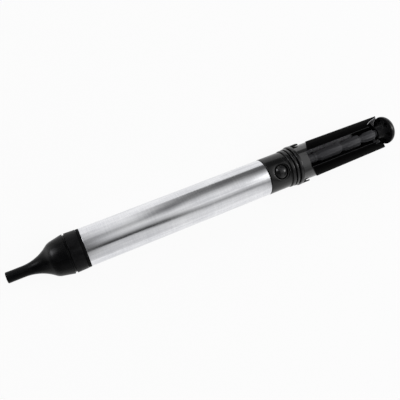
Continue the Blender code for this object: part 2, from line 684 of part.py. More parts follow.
def make_housing_group():
    """Rear housing with its seal and the bumper that stops the piston."""
    floor = SPIGOT_R - LARGE_SEAL
    seal_x = (SPIGOT_END + HOUSING_FRONT) / 2
    groove_r = HOUSING_R - GROOVE_DEPTH
    groove_start = HOUSING_FRONT + HOUSING_LENGTH
    outline = [(REAR_TUBE_END, REAR_TUBE_R - CAP_EDGE), (REAR_TUBE_END - CAP_EDGE, REAR_TUBE_R)]
    outline += [(LAND_END, REAR_TUBE_R), (LAND_END, LAND_R - HOUSING_EDGE)]
    outline += [(LAND_END - HOUSING_EDGE, LAND_R), (LAND_START + GROOVE_EDGE, LAND_R)]
    outline += [(LAND_START, LAND_R - GROOVE_EDGE), (LAND_START, groove_r), (groove_start, groove_r)]
    outline += [(groove_start, HOUSING_R - GROOVE_EDGE), (groove_start - GROOVE_EDGE, HOUSING_R)]
    outline += [(HOUSING_FRONT + HOUSING_EDGE, HOUSING_R), (HOUSING_FRONT, HOUSING_R - HOUSING_EDGE)]
    outline += [(HOUSING_FRONT, SPIGOT_R)]
    outline += seal_groove(seal_x, LARGE_SEAL, floor, SPIGOT_R)
    outline += [(SPIGOT_END + CAP_EDGE, SPIGOT_R), (SPIGOT_END, SPIGOT_R - CAP_EDGE)]
    outline += [(SPIGOT_END, PASSAGE_R), (REAR_TUBE_END, PASSAGE_R)]
    housing = turned("rear_housing", outline, ROUND_SIDES, gloss_black)
    above = LAND_R + CUT_MARGIN
    well = upright_disc("button_well", BUTTON_X, BUTTON_R + SEAT_GAP, BUTTON_WELL_FLOOR, above, pump_axis)
    boolean(housing, well)
    recess_floor = HOUSING_R - RECESS_DEPTH
    recess = upright_disc("button_recess", BUTTON_X, RECESS_DIAMETER / 2, recess_floor, above, pump_axis)
    boolean(housing, recess)
    slot_half = PLATE_THICKNESS / 2 + SEAT_GAP
    slot_bottom = PLATE_BOTTOM - BUTTON_TRAVEL - SEAT_GAP
    slot = block(
        "plate_slot",
        (BUTTON_X - slot_half, -PLATE_HALF - SEAT_GAP, slot_bottom),
        (BUTTON_X + slot_half, PLATE_HALF + SEAT_GAP, PLATE_TOP + SEAT_GAP),
        pump_axis,
    )
    boolean(housing, slot)
    foot = block(
        "foot_slot",
        (BUTTON_X, -FOOT_WIDTH / 2 - SEAT_GAP, slot_bottom - SEAT_GAP),
        (BUTTON_X - PLATE_THICKNESS / 2 + PLATE_FOOT + SEAT_GAP, FOOT_WIDTH / 2 + SEAT_GAP, 0.0),
        pump_axis,
    )
    boolean(housing, foot)
    well_r = BUTTON_SPRING_RADIUS + BUTTON_SPRING_WIRE / 2 + SEAT_GAP
    spring_well = upright_disc(
        "spring_well", BUTTON_X + SPRING_OFFSET, well_r, BUTTON_SPRING_FLOOR, PLATE_BOTTOM, pump_axis
    )
    boolean(housing, spring_well)
    seal_outer = BORE_R - SEAL_GAP
    rubber_ring("housing_o_ring", seal_x, floor + SEAL_GAP, seal_outer)
    bumper_front = BUMPER_BACK - BUMPER_THICKNESS
    ring("stop_bumper", BUMPER_BACK, bumper_front, floor, PASSAGE_R + SEAT_GAP, SEAL_GAP, rubber)


def make_button_group():
    """Domed release button, the latch plate in its slot, and the spring under the plate."""
    sphere_r = (BUTTON_R ** 2 + BUTTON_DOME ** 2) / (2 * BUTTON_DOME)
    half_angle = math.asin(BUTTON_R / sphere_r)
    outline = []
    for i in range(DOME_STEPS + 1):
        angle = half_angle * i / DOME_STEPS
        outline.append((BUTTON_TOP - sphere_r * (1 - math.cos(angle)), sphere_r * math.sin(angle)))
    outline[0] = (BUTTON_TOP, 0.0)
    outline += [(BUTTON_BOTTOM, BUTTON_R), (BUTTON_BOTTOM, 0.0)]
    button = turned("release_button", outline, INNER_SIDES, gloss_black, button_axis)
    button.rotation_euler = (0.0, 0.0, 0.0)
    button.location = (0.0, 0.0, BUTTON_TOP)
    slot_top = PLATE_TOP + TONGUE_HEIGHT + SEAT_GAP
    slot_half = PLATE_THICKNESS / 2 + SEAT_GAP
    slot = block(
        "tongue_slot",
        (BUTTON_X - slot_half, -TONGUE_WIDTH / 2 - SEAT_GAP, BUTTON_BOTTOM - CUT_MARGIN),
        (BUTTON_X + slot_half, TONGUE_WIDTH / 2 + SEAT_GAP, slot_top),
        button_axis,
    )
    boolean(button, slot)
    shoulder = PLATE_HALF - PLATE_CORNER
    heel = FOOT_WIDTH / 2 + SEAT_GAP
    plate_outline = [
        (-TONGUE_WIDTH / 2, PLATE_TOP + TONGUE_HEIGHT),
        (TONGUE_WIDTH / 2, PLATE_TOP + TONGUE_HEIGHT),
        (TONGUE_WIDTH / 2, PLATE_TOP),
        (shoulder, PLATE_TOP),
        (PLATE_HALF, PLATE_TOP - PLATE_CORNER),
        (PLATE_HALF, APERTURE_BOTTOM),
        (heel, PLATE_BOTTOM),
        (-heel, PLATE_BOTTOM),
        (-PLATE_HALF, APERTURE_BOTTOM),
        (-PLATE_HALF, PLATE_TOP - PLATE_CORNER),
        (-shoulder, PLATE_TOP),
        (-TONGUE_WIDTH / 2, PLATE_TOP),
    ]
    aperture = [
        (-APERTURE_HALF, APERTURE_BOTTOM),
        (APERTURE_HALF, APERTURE_BOTTOM),
        (APERTURE_HALF, APERTURE_TOP - PLATE_WEB),
        (APERTURE_HALF - PLATE_WEB, APERTURE_TOP),
        (PLATE_WEB - APERTURE_HALF, APERTURE_TOP),
        (-APERTURE_HALF, APERTURE_TOP - PLATE_WEB),
    ]
    plate = extruded("latch_plate", [plate_outline, aperture], PLATE_THICKNESS, steel)
    plate.rotation_euler = (math.pi / 2, 0.0, math.pi / 2)
    plate.parent = button_axis
    foot = block(
        "latch_foot",
        (BUTTON_X, -FOOT_WIDTH / 2, PLATE_BOTTOM),
        (BUTTON_X - PLATE_THICKNESS / 2 + PLATE_FOOT, FOOT_WIDTH / 2, PLATE_BOTTOM + PLATE_THICKNESS),
        button_axis,
    )
    boolean(plate, foot, "UNION")
    spring = coil("button_spring", BUTTON_SPRING_RADIUS, BUTTON_SPRING_WIRE, BUTTON_SPRING_LENGTH,
                  BUTTON_SPRING_TURNS, SPRING_END_TURNS / 2, COIL_STEPS)
    spring.location.z = BUTTON_SPRING_FLOOR + SEAT_GAP
    place(spring, pump_axis, BUTTON_X + SPRING_OFFSET, parts)


def make_lock_ring():
    """Lock ring: a land, a flange with flats and two tabs over the guard's neck."""
    inner = REAR_TUBE_R + SEAT_GAP
    waist_r = HOUSING_R - GROOVE_DEPTH
    land_r = RING_LAND_OD / 2
    land_end = RING_FRONT + RING_LAND
    outline = [(FLANGE_BACK, FLANGE_R - SEAL_GAP), (FLANGE_BACK - SEAL_GAP, FLANGE_R)]
    outline += [(FLANGE_FRONT + SEAL_GAP, FLANGE_R), (FLANGE_FRONT, FLANGE_R - SEAL_GAP)]
    outline += [(FLANGE_FRONT, waist_r), (land_end, waist_r), (land_end, land_r - HOUSING_EDGE)]
    outline += [(land_end - HOUSING_EDGE, land_r), (RING_FRONT + HOUSING_EDGE, land_r)]
    outline += [(RING_FRONT, land_r - HOUSING_EDGE), (RING_FRONT, inner), (FLANGE_BACK, inner)]
    lock = turned("lock_ring", outline, REST_SIDES, gloss_black, turn=half_step(REST_SIDES))
    tab_outer = FLANGE_R * math.cos(math.pi / REST_SIDES) - SEAL_GAP
    tab_inner = tab_outer - TAB_THICKNESS
    sector = []
    for i in range(TAB_STEPS + 1):
        angle = TAB_ANGLE * (i / TAB_STEPS - 0.5)
        sector.append((tab_outer * math.cos(angle), tab_outer * math.sin(angle)))
    for i in range(TAB_STEPS + 1):
        angle = TAB_ANGLE * (0.5 - i / TAB_STEPS)
        sector.append((tab_inner * math.cos(angle), tab_inner * math.sin(angle)))
    length = FLANGE_WIDTH / 2 + TAB_LENGTH
    for side, turn in (("left", math.pi / 2), ("right", -math.pi / 2)):
        tab = extruded(f"lock_tab_{side}", [sector], length, group=cutters)
        tab.rotation_euler = (0.0, math.pi / 2, 0.0)
        tab.rotation_euler.rotate_axis("Z", turn)
        tab.parent = pump_axis
        tab.location.x = FLANGE_BACK + TAB_LENGTH - length / 2
        boolean(lock, tab, "UNION")


def neck_cutter(neck_r, sleeve_r):
    """What is cut away round the guard's neck: a sleeve with a slanted back end."""
    reach = 4 * sleeve_r
    sleeve_front = NECK_FRONT - CUT_MARGIN
    sleeve_back = NECK_BACK + reach
    outline = [(sleeve_back, sleeve_r), (sleeve_front, sleeve_r)]
    outline += [(sleeve_front, neck_r), (sleeve_back, neck_r)]
    sleeve = turned("neck_sleeve", outline, ROUND_SIDES, group=cutters)
    slant = block("neck_slant", (0.0, -reach, -reach), (2 * reach, reach, reach), pump_axis)
    slant.rotation_euler = (0.0, -NECK_SLANT, 0.0)
    slant_x = NECK_BACK + SEAT_GAP + neck_r * math.tan(NECK_SLANT)
    slant.location.x = slant_x + reach * math.cos(NECK_SLANT)
    slant.location.z = reach * math.sin(NECK_SLANT)
    boolean(sleeve, slant)
    return sleeve


def make_guard():
    """Guard: a polished neck with a slanted end, and a long trough that is scooped at its end."""
    bore_r = GUARD_BORE / 2
    neck_r = NECK_OD / 2
    front_r = GUARD_OD / 2
    end_r = GUARD_END_OD / 2
    outline = [(GUARD_END, end_r - SEAL_GAP), (GUARD_END - SEAL_GAP, end_r), (NECK_BACK, front_r)]
    outline += [(NECK_FRONT, front_r), (NECK_FRONT, REAR_TUBE_R + SEAT_GAP)]
    outline += [(REAR_TUBE_END, REAR_TUBE_R + SEAT_GAP), (REAR_TUBE_END + SEAT_GAP, bore_r)]
    outline += [(GUARD_END, bore_r)]
    guard = turned("guard", outline, ROUND_SIDES, matte_black)
    boolean(guard, neck_cutter(neck_r, front_r + CUT_MARGIN))
    past_end = GUARD_END + CUT_MARGIN
    half = WINDOW_WIDTH / 2
    outline = [(NECK_BACK, half), (past_end, half), (past_end, -half), (NECK_BACK, -half)]
    window = extruded("guard_window", [outline], front_r + CUT_MARGIN, group=cutters)
    lift = (front_r + CUT_MARGIN) / 2
    window.parent = pump_axis
    window.rotation_euler = (-WINDOW_TURN, 0.0, 0.0)
    window.location.y = lift * math.sin(WINDOW_TURN)
    window.location.z = lift * math.cos(WINDOW_TURN)
    boolean(guard, window)
    above = front_r + CUT_MARGIN
    scoop_start = GUARD_END - SCOOP_LENGTH
    scoop_outline = [
        (scoop_start, above),
        (scoop_start, SCOOP_HEIGHT),
        (past_end, SCOOP_END_HEIGHT),
        (past_end, above),
    ]
    scoop = extruded("guard_scoop", [scoop_outline], 3 * above, group=cutters)
    scoop.parent = pump_axis
    scoop.rotation_euler = (math.pi / 2 - SCOOP_TURN, 0.0, 0.0)
    boolean(guard, scoop)


make_nozzle()
make_front_cap()
make_barrel_group()
make_piston_group()
make_plunger_rod()
make_knob()
make_housing_group()
make_button_group()
make_lock_ring()
make_guard()
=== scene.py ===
import json
import math

import bpy
from mathutils import Matrix, Vector


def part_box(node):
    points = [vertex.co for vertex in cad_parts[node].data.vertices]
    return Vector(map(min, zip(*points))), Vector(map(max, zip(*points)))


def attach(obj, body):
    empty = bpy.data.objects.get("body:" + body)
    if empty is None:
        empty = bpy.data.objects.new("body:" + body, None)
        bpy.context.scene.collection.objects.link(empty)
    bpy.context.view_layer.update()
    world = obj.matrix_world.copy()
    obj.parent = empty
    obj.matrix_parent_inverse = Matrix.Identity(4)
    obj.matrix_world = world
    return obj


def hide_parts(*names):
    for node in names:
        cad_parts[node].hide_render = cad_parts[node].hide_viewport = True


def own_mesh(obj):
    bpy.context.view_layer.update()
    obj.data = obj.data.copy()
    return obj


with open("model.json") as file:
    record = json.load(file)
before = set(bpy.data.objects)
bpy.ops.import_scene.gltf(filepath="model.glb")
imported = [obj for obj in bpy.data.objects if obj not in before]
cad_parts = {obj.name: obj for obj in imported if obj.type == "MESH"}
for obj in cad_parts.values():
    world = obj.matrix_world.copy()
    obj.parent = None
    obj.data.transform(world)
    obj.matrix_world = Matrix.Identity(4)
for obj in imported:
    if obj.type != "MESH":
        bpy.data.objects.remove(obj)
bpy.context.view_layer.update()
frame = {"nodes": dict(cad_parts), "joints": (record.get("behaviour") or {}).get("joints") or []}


# The place where the pump is looked at. It lies on a pale table, the camera stands
# almost straight above it, a little nearer to the nozzle, and is rolled so that the
# pump rises to the right. Its middle ray passes just beside the pump's axis.
CAMERA_DISTANCE = 0.2514
CAMERA_LEAN_BACK = math.radians(14.5)
CAMERA_LEAN_SIDE = math.radians(5.0)
CAMERA_ROLL = math.radians(21.38)
CAMERA_LENS = 45.0
CAMERA_SENSOR = 36.0
CAMERA_NEAREST = 0.01
AIM_FROM_BARREL = 0.0607
AIM_SIDE = 0.00106

barrel_low, barrel_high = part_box("barrel")
axis_height = (barrel_low.z + barrel_high.z) / 2

camera_data = bpy.data.cameras.new("camera")
camera_data.lens = CAMERA_LENS
camera_data.sensor_width = CAMERA_SENSOR
camera_data.clip_start = CAMERA_NEAREST
camera = bpy.data.objects.new("camera", camera_data)
bpy.context.scene.collection.objects.link(camera)
bpy.context.scene.camera = camera
back = Vector((
    -math.sin(CAMERA_LEAN_BACK),
    math.cos(CAMERA_LEAN_BACK) * math.sin(CAMERA_LEAN_SIDE),
    math.cos(CAMERA_LEAN_BACK) * math.cos(CAMERA_LEAN_SIDE),
))
along = (Vector((1.0, 0.0, 0.0)) - back * back.x).normalized()
across = back.cross(along)
right = along * math.cos(CAMERA_ROLL) - across * math.sin(CAMERA_ROLL)
up = along * math.sin(CAMERA_ROLL) + across * math.cos(CAMERA_ROLL)
aim = Vector((barrel_low.x + AIM_FROM_BARREL, AIM_SIDE, axis_height))
turned_camera = Matrix((right, up, back)).transposed().to_4x4()
camera.matrix_world = Matrix.Translation(aim + back * CAMERA_DISTANCE) @ turned_camera
bpy.context.scene.view_settings.view_transform = "Standard"


# The studio round the table: pale walls with dark gaps, which show as the dark streaks
# along the barrel and change from the nozzle to the knob. Behind the nozzle it is dim
# apart from one bright pane, and far past the knob a bright panel hangs overhead.
class Wire:
    """One value in a node tree. Sums of wires add Math nodes, and node() adds any other."""

    def __init__(self, tree, socket=None):
        self.tree = tree
        self.socket = socket

    def node(self, kind, settings=None, inputs=None, output=0):
        """Add a node: its settings first, then the values or wires of its sockets."""
        made = self.tree.nodes.new("ShaderNode" + kind)
        for key, value in (settings or {}).items():
            if key == "stops":
                ramp = made.color_ramp.elements
                while len(ramp) < len(value):
                    ramp.new(1.0)
                for stop, (place, shade) in zip(ramp, value):
                    stop.position = place
                    stop.color = (*shade, 1.0)
            else:
                setattr(made, key, value)
        for key, value in (inputs or {}).items():
            if isinstance(value, Wire):
                self.tree.links.new(value.socket, made.inputs[key])
            else:
                made.inputs[key].default_value = value
        return Wire(self.tree, made.outputs[output] if made.outputs else None)

    def maths(self, operation, first, second=0.0):
        """One Math node on two wires or numbers."""
        return self.node("Math", {"operation": operation}, {0: first, 1: second})

    def __add__(self, other):
        return self.maths("ADD", self, other)

    __radd__ = __add__

    def __sub__(self, other):
        return self.maths("SUBTRACT", self, other)

    def __rsub__(self, other):
        return self.maths("SUBTRACT", other, self)

    def __mul__(self, other):
        return self.maths("MULTIPLY", self, other)

    __rmul__ = __mul__

    def __truediv__(self, other):
        return self.maths("DIVIDE", self, other)

    def __abs__(self):
        return self.maths("ABSOLUTE", self)


def split(wire):
    """The three numbers of a vector."""
    made = wire.node("SeparateXYZ", inputs={0: wire}).socket.node
    return [Wire(wire.tree, socket) for socket in made.outputs]


def blend_colours(share, first, second):
    """A colour between two others."""
    return share.node("Mix", {"data_type": "RGBA"}, {0: share, 6: first, 7: second}, output=2)


def rising(wire, low, high):
    """0 up to the low value, 1 from the high value on, and a soft step between them."""
    return wire.node("MapRange", {"interpolation_type": "SMOOTHSTEP"}, {0: wire, 1: low, 2: high})


def band(wire, low, full, fading, high):
    """1 between the middle two values, 0 outside the outer two, and soft steps between."""
    return rising(wire, low, full) * (1.0 - rising(wire, fading, high))


def at(degrees):
    """Place on the studio's ramps of what leans so far from straight up, towards +Y."""
    return degrees / 360 + 0.5


def wall(*stops):
    """The light round the pump's length, each stop a lean in degrees and the light there."""
    shades = [(at(degrees), (light, light, light)) for degrees, light in stops]
    return room.node("ValToRGB", {"stops": shades}, {0: lean})


WHITE = (1.0, 1.0, 1.0, 1.0)
BEYOND_THE_NOZZLE = -0.22
NEAR_THE_NOZZLE = -0.08
TO_THE_NOZZLE = 0.02
MIDDLE = 0.15
TO_THE_KNOB = 0.29
PAST_THE_KNOB = 0.50
FAR_PAST_THE_KNOB = 0.58
PANE_LIGHT = (5.0, 5.0, 5.2, 1.0)
PANE_SIDES = (at(36), at(48), at(66), at(80))
PANE_ENDS = (-0.78, -0.62, -0.50, -0.36)

world = bpy.data.worlds.new("studio")
bpy.context.scene.world = world
world.use_nodes = True
world.node_tree.nodes.clear()
room = Wire(world.node_tree)
lengthwise, sideways, upwards = split(room.node("TexCoord", output="Generated"))
lean = room.maths("ARCTAN2", sideways, upwards) / (2 * math.pi) + 0.5
nozzle_side = wall(
    (-170, 0.80), (-60, 0.74), (-29, 0.66), (-24, 0.02), (-15, 0.10),
    (4, 0.68), (18, 0.74), (34, 0.44), (56, 0.84), (100, 0.95),
)
middle_side = wall(
    (-170, 0.84), (-60, 0.78), (-38, 0.66), (-30, 0.06), (-20, 0.04), (-2, 0.60),
    (12, 0.84), (30, 0.42), (46, 0.18), (78, 0.42), (100, 0.82),
)
knob_side = wall(
    (-170, 0.92), (-60, 0.84), (-45, 0.70), (-32, 0.34), (-22, 0.52), (-8, 0.88),
    (22, 0.84), (46, 0.34), (60, 0.15), (84, 0.15), (98, 0.85),
)
far_side = wall(
    (-170, 0.55), (-88, 0.36), (-62, 0.10), (-38, 0.22), (-16, 0.75), (2, 1.80),
    (16, 1.60), (40, 0.40), (62, 0.05), (90, 0.05), (110, 0.90),
)
dim_side = wall((-170, 0.40), (-70, 0.40), (-20, 0.08), (10, 0.08), (60, 0.40), (100, 0.50))
walls = blend_colours(rising(lengthwise, TO_THE_NOZZLE, MIDDLE), nozzle_side, middle_side)
walls = blend_colours(rising(lengthwise, MIDDLE, TO_THE_KNOB), walls, knob_side)
walls = blend_colours(rising(lengthwise, BEYOND_THE_NOZZLE, NEAR_THE_NOZZLE), dim_side, walls)
walls = blend_colours(rising(lengthwise, PAST_THE_KNOB, FAR_PAST_THE_KNOB), walls, far_side)
pane = band(lean, *PANE_SIDES) * band(lengthwise, *PANE_ENDS)
walls = blend_colours(pane, walls, PANE_LIGHT)
seen = room.node("LightPath", output="Is Camera Ray")
sky = blend_colours(seen, walls, WHITE)
room.node("OutputWorld", inputs={0: room.node("Background", inputs={0: sky})})


# The lamp: one small soft box that hangs beyond the knob. It lights the rod, the rings,
# the neck and the button from that end.
LAMP_SIZE = 0.15
LAMP_POWER = 0.55
LAMP_AIM_X = 0.04
LAMP_OFFSET = Vector((0.44, -0.03, 0.34))

lamp_data = bpy.data.lights.new("soft_box", "AREA")
lamp_data.shape = "SQUARE"
lamp_data.size = LAMP_SIZE
lamp_data.energy = LAMP_POWER
lamp = bpy.data.objects.new("soft_box", lamp_data)
bpy.context.scene.collection.objects.link(lamp)
lamp.location = Vector((LAMP_AIM_X, 0.0, axis_height)) + LAMP_OFFSET
lamp.rotation_euler = LAMP_OFFSET.to_track_quat("Z", "Y").to_euler()


# The table is pale. The camera and polished surfaces see it nearly white, and it
# keeps a faint soft shadow of the pump.
TABLE_SIZE = 3.0
TABLE_DROP = 0.00002
TABLE_GLOW = 0.93
TABLE_SHADE = (0.93, 0.93, 0.93, 1.0)


def deselect():
    """Leave nothing selected, so that the next operator acts only on its own piece."""
    bpy.ops.object.select_all(action="DESELECT")


deselect()
bpy.ops.mesh.primitive_plane_add(size=TABLE_SIZE, location=(0.0, 0.0, -TABLE_DROP))
table = bpy.context.active_object
table.name = "table"
table_top = bpy.data.materials.new("table_top")
table_top.use_nodes = True
table_top.node_tree.nodes.clear()
top = Wire(table_top.node_tree)
rays = top.node("LightPath").socket.node.outputs
seen = Wire(top.tree, rays["Is Camera Ray"])
for name in ("Is Glossy Ray", "Is Transmission Ray"):
    seen = seen + Wire(top.tree, rays[name])
lit = top.node("BsdfDiffuse", inputs={0: TABLE_SHADE})
glow = top.node("Emission", inputs={0: WHITE})
shown = top.node("MixShader", inputs={0: seen * TABLE_GLOW, 1: lit, 2: glow})
top.node("OutputMaterial", inputs={0: shown})
table.data.materials.append(table_top)


# The barrel: a drawn aluminium tube, cut square at both ends and left bright. Fine
# lines run along it from the drawing and finer ones round it from polishing.
SEAT_GAP = 0.0003
BARREL_WALL = 0.0010
BARREL_EDGE = 0.00012
TURN_SIDES = 128
STRAIGHT = math.radians(152)
SHARP = math.radians(35)
CORNER_SHARE = 0.45
MERGE_DISTANCE = 0.000002
TUBE_GREY = (0.66, 0.665, 0.695, 1.0)
TUBE_BRIGHT = (0.86, 0.865, 0.885, 1.0)
ROUND_GRAIN = (2600.0, 90.0, 90.0)
LONG_GRAIN = (14.0, 900.0, 900.0)
TUBE_CLOUDS = (60.0, 200.0, 200.0)
TUBE_CONTRAST = (0.36, 0.64)
TUBE_ROUGHNESS = 0.12
TUBE_DULLING = 0.07
TUBE_RELIEF = 0.000004


def choose(piece):
    """Select one piece alone and make it active."""
    deselect()
    piece.select_set(True)
    bpy.context.view_layer.objects.active = piece


def arc(centre, radius, start, end, count):
    """Points of an arc in (x, radius), angles in degrees from the +X axis."""
    angles = [math.radians(start + (end - start) * i / count) for i in range(count + 1)]
    return [(centre[0] + radius * math.cos(a), centre[1] + radius * math.sin(a)) for a in angles]


def eased(outline, radius, steps=3):
    """The outline with its corners rounded. A closed one ends on its first point."""
    closed = outline[0] == outline[-1]
    corners = [Vector(point) for point in (outline[:-1] if closed else outline)]
    points = []
    for i, corner in enumerate(corners):
        before = corners[i - 1] - corner
        after = corners[(i + 1) % len(corners)] - corner
        open_end = not closed and i in (0, len(corners) - 1)
        if open_end or before.angle(after) > STRAIGHT:
            points.append(tuple(corner))
            continue
        run_in = before.normalized() * min(radius, before.length * CORNER_SHARE)
        run_out = after.normalized() * min(radius, after.length * CORNER_SHARE)
        for step in range(steps + 1):
            share = step / steps
            points.append(tuple(corner + run_in * (1 - share) ** 2 + run_out * share ** 2))
    return points + points[:1] if closed else points


def drawn(name, points):
    """A new piece that is a chain of edges, drawn point by point."""
    deselect()
    bpy.ops.mesh.primitive_plane_add(size=SEAT_GAP, location=points[0])
    piece = bpy.context.active_object
    piece.name = name
    piece.data.name = name
    bpy.ops.object.mode_set(mode="EDIT")
    bpy.ops.mesh.merge(type="CENTER")
    for point, next_point in zip(points, points[1:]):
        bpy.ops.mesh.extrude_vertices_move(TRANSFORM_OT_translate={"value": next_point - point})
    bpy.ops.object.mode_set(mode="OBJECT")
    bpy.ops.object.transform_apply(location=True, rotation=True, scale=True)
    return piece


def spun(name, outline, sides=TURN_SIDES, turn=0.0, upright_x=None):
    """Draw an outline of (x, radius) and spin it round the pump's axis.

    With upright_x it is an outline of (height, radius), spun round an upright axis there.
    """
    if upright_x is None:
        outward = Vector((0.0, math.sin(turn), math.cos(turn)))
        centre = Vector((0.0, 0.0, axis_height))
        axis = Vector((1.0, 0.0, 0.0))
    else:
        outward = Vector((1.0, 0.0, 0.0))
        centre = Vector((upright_x, 0.0, 0.0))
        axis = Vector((0.0, 0.0, 1.0))
    piece = drawn(name, [centre + axis * place + outward * radius for place, radius in outline])
    bpy.ops.object.mode_set(mode="EDIT")
    bpy.ops.mesh.select_all(action="SELECT")
    bpy.ops.mesh.spin(steps=sides, angle=2 * math.pi, center=centre, axis=axis)
    bpy.ops.mesh.select_all(action="SELECT")
    bpy.ops.mesh.remove_doubles(threshold=MERGE_DISTANCE)
    bpy.ops.mesh.normals_make_consistent(inside=False)
    bpy.ops.object.mode_set(mode="OBJECT")
    bpy.ops.object.shade_smooth_by_angle(angle=SHARP)
    return piece


def new_surface(name):
    """A material with an empty tree, a first wire in it, and its place on the object."""
    material = bpy.data.materials.new(name)
    material.use_nodes = True
    material.node_tree.nodes.clear()
    paint = Wire(material.node_tree)
    return material, paint, paint.node("TexCoord", output="Object")


def noise(place, stretch, detail=3.0, roughness=0.5):
    """Noise from 0 to 1, with so many grains to the metre along X, Y and Z."""
    grain = place.node("Mapping", inputs={0: place, 3: stretch})
    sockets = {"Vector": grain, "Scale": 1.0, "Detail": detail, "Roughness": roughness}
    return place.node("TexNoise", inputs=sockets)


def relief(height, distance, strength=1.0):
    """A bumped normal from a height and its real depth in metres."""
    return height.node("Bump", inputs={"Height": height, "Distance": distance, "Strength": strength})


def shaded(paint, **inputs):
    """Close the tree with a Principled shader; the keywords are its sockets."""
    sockets = {key.replace("_", " "): value for key, value in inputs.items()}
    paint.node("OutputMaterial", inputs={0: paint.node("BsdfPrincipled", inputs=sockets)})


def dress(piece, material, body, slot, *nodes):
    """Give a new piece its material and its body, and hide the CAD nodes that it stands for. The slot
    is not used.
    """
    piece.data.materials.clear()
    piece.data.materials.append(material)
    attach(piece, body)
    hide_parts(*nodes)


barrel_radius = (barrel_high.z - barrel_low.z) / 2
bore_radius = barrel_radius - BARREL_WALL
barrel = spun("barrel_tube", eased([
    (barrel_low.x, bore_radius),
    (barrel_low.x, barrel_radius),
    (barrel_high.x, barrel_radius),
    (barrel_high.x, bore_radius),
    (barrel_low.x, bore_radius),
], BARREL_EDGE))

bright_tube, paint, place = new_surface("drawn_aluminium")
round_marks = noise(place, ROUND_GRAIN)
long_marks = noise(place, LONG_GRAIN, roughness=0.6)
clouds = noise(place, TUBE_CLOUDS, detail=4.0, roughness=0.6)
marks = round_marks * 0.2 + long_marks * 0.3 + clouds * 0.5
contrast = rising(marks, *TUBE_CONTRAST)
shaded(
    paint,
    Base_Color=blend_colours(contrast, TUBE_GREY, TUBE_BRIGHT),
    Metallic=1.0,
    Roughness=TUBE_ROUGHNESS + contrast * TUBE_DULLING,
    Normal=relief(round_marks * 0.6 + long_marks * 0.4, TUBE_RELIEF),
)
dress(barrel, bright_tube, "pump_body", "aluminium", "barrel")


# The front cap: black moulded plastic, pushed into the barrel's front end against a
# flat rubber gasket. Its nose carries the O-ring that holds the nozzle. The gasket's
# edge is the dark seam before the barrel.
CAP_TAPER = 0.00015
CAP_LENGTH = 0.0053
CAP_NOSE_RADIUS = 0.0065
CAP_NOSE_LENGTH = 0.0070
CAP_BORE_RADIUS = 0.0030
CAP_SPIGOT_RADIUS = bore_radius - SEAT_GAP
CAP_EDGE = 0.0003
GASKET_RADIUS = 0.00955
GASKET_EDGE = 0.00015
TIGHT_SEAM = 0.00003
SEAM_DEPTH = 0.0006
GROOVE_DEPTH = 0.0010
CAP_SHADE = (0.0030, 0.0030, 0.0034, 1.0)
CAP_DUST = (0.011, 0.011, 0.0118, 1.0)
CAP_SPARKS = (3000.0, 3000.0, 3000.0)
CAP_CLOUDS = (140.0, 220.0, 220.0)
CAP_DUSTY = (0.35, 0.68)
CAP_ROUGHNESS = 0.32
CAP_DULLING = 0.16
CAP_SPECULAR = 0.08
CAP_RELIEF = 0.00001
RUBBER_SHADE = (0.005, 0.005, 0.0053, 1.0)
RUBBER_BLOOM = (0.011, 0.011, 0.0115, 1.0)
RUBBER_SKIN = (1800.0, 1800.0, 1800.0)
RUBBER_CLOUDS = (260.0, 260.0, 260.0)
RUBBER_BLOOMED = (0.45, 0.75)
RUBBER_ROUGHNESS = 0.62
RUBBER_DULLING = 0.2
RUBBER_SPECULAR = 0.04
RUBBER_RELIEF = 0.00001


def repaint(material, *nodes):
    """Give CAD nodes that stay as they are their material."""
    for node in nodes:
        frame["nodes"][node].material_slots[0].material = material


cap_low, cap_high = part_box("front_cap")
seal_low, seal_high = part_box("nozzle_seal")
cap_radius = (cap_high.z - cap_low.z) / 2
cap_front = cap_low.x + CAP_NOSE_LENGTH
cap_back = cap_front + CAP_LENGTH + SEAT_GAP
gasket = spun("front_gasket_ring", eased([
    (cap_back + TIGHT_SEAM, CAP_SPIGOT_RADIUS + TIGHT_SEAM),
    (cap_back + TIGHT_SEAM, GASKET_RADIUS),
    (barrel_low.x - TIGHT_SEAM, GASKET_RADIUS),
    (barrel_low.x - TIGHT_SEAM, CAP_SPIGOT_RADIUS + TIGHT_SEAM),
    (cap_back + TIGHT_SEAM, CAP_SPIGOT_RADIUS + TIGHT_SEAM),
], GASKET_EDGE))
cap = spun("front_cap_moulding", eased([
    (cap_low.x, CAP_BORE_RADIUS),
    (cap_low.x, CAP_NOSE_RADIUS),
    (seal_low.x - CAP_TAPER, CAP_NOSE_RADIUS),
    (seal_low.x - CAP_TAPER, CAP_NOSE_RADIUS - GROOVE_DEPTH),
    (seal_high.x + CAP_TAPER, CAP_NOSE_RADIUS - GROOVE_DEPTH),
    (seal_high.x + CAP_TAPER, CAP_NOSE_RADIUS),
    (cap_front, CAP_NOSE_RADIUS),
    (cap_front, cap_radius),
    (cap_back, cap_radius - CAP_TAPER),
    (cap_back, CAP_SPIGOT_RADIUS),
    (cap_high.x, CAP_SPIGOT_RADIUS),
    (cap_high.x, CAP_BORE_RADIUS),
    (cap_low.x, CAP_BORE_RADIUS),
], CAP_EDGE))

satin_cap, paint, place = new_surface("satin_black_cap")
sparks = noise(place, CAP_SPARKS, detail=2.0, roughness=0.6)
clouds = noise(place, CAP_CLOUDS, detail=4.0, roughness=0.6)
dull = rising(clouds, *CAP_DUSTY)
shaded(
    paint,
    Base_Color=blend_colours(dull, CAP_SHADE, CAP_DUST),
    Roughness=CAP_ROUGHNESS + dull * CAP_DULLING,
    Specular_IOR_Level=CAP_SPECULAR,
    Normal=relief(sparks, CAP_RELIEF, strength=0.6),
)
dress(cap, satin_cap, "pump_body", "satin_black", "front_cap")

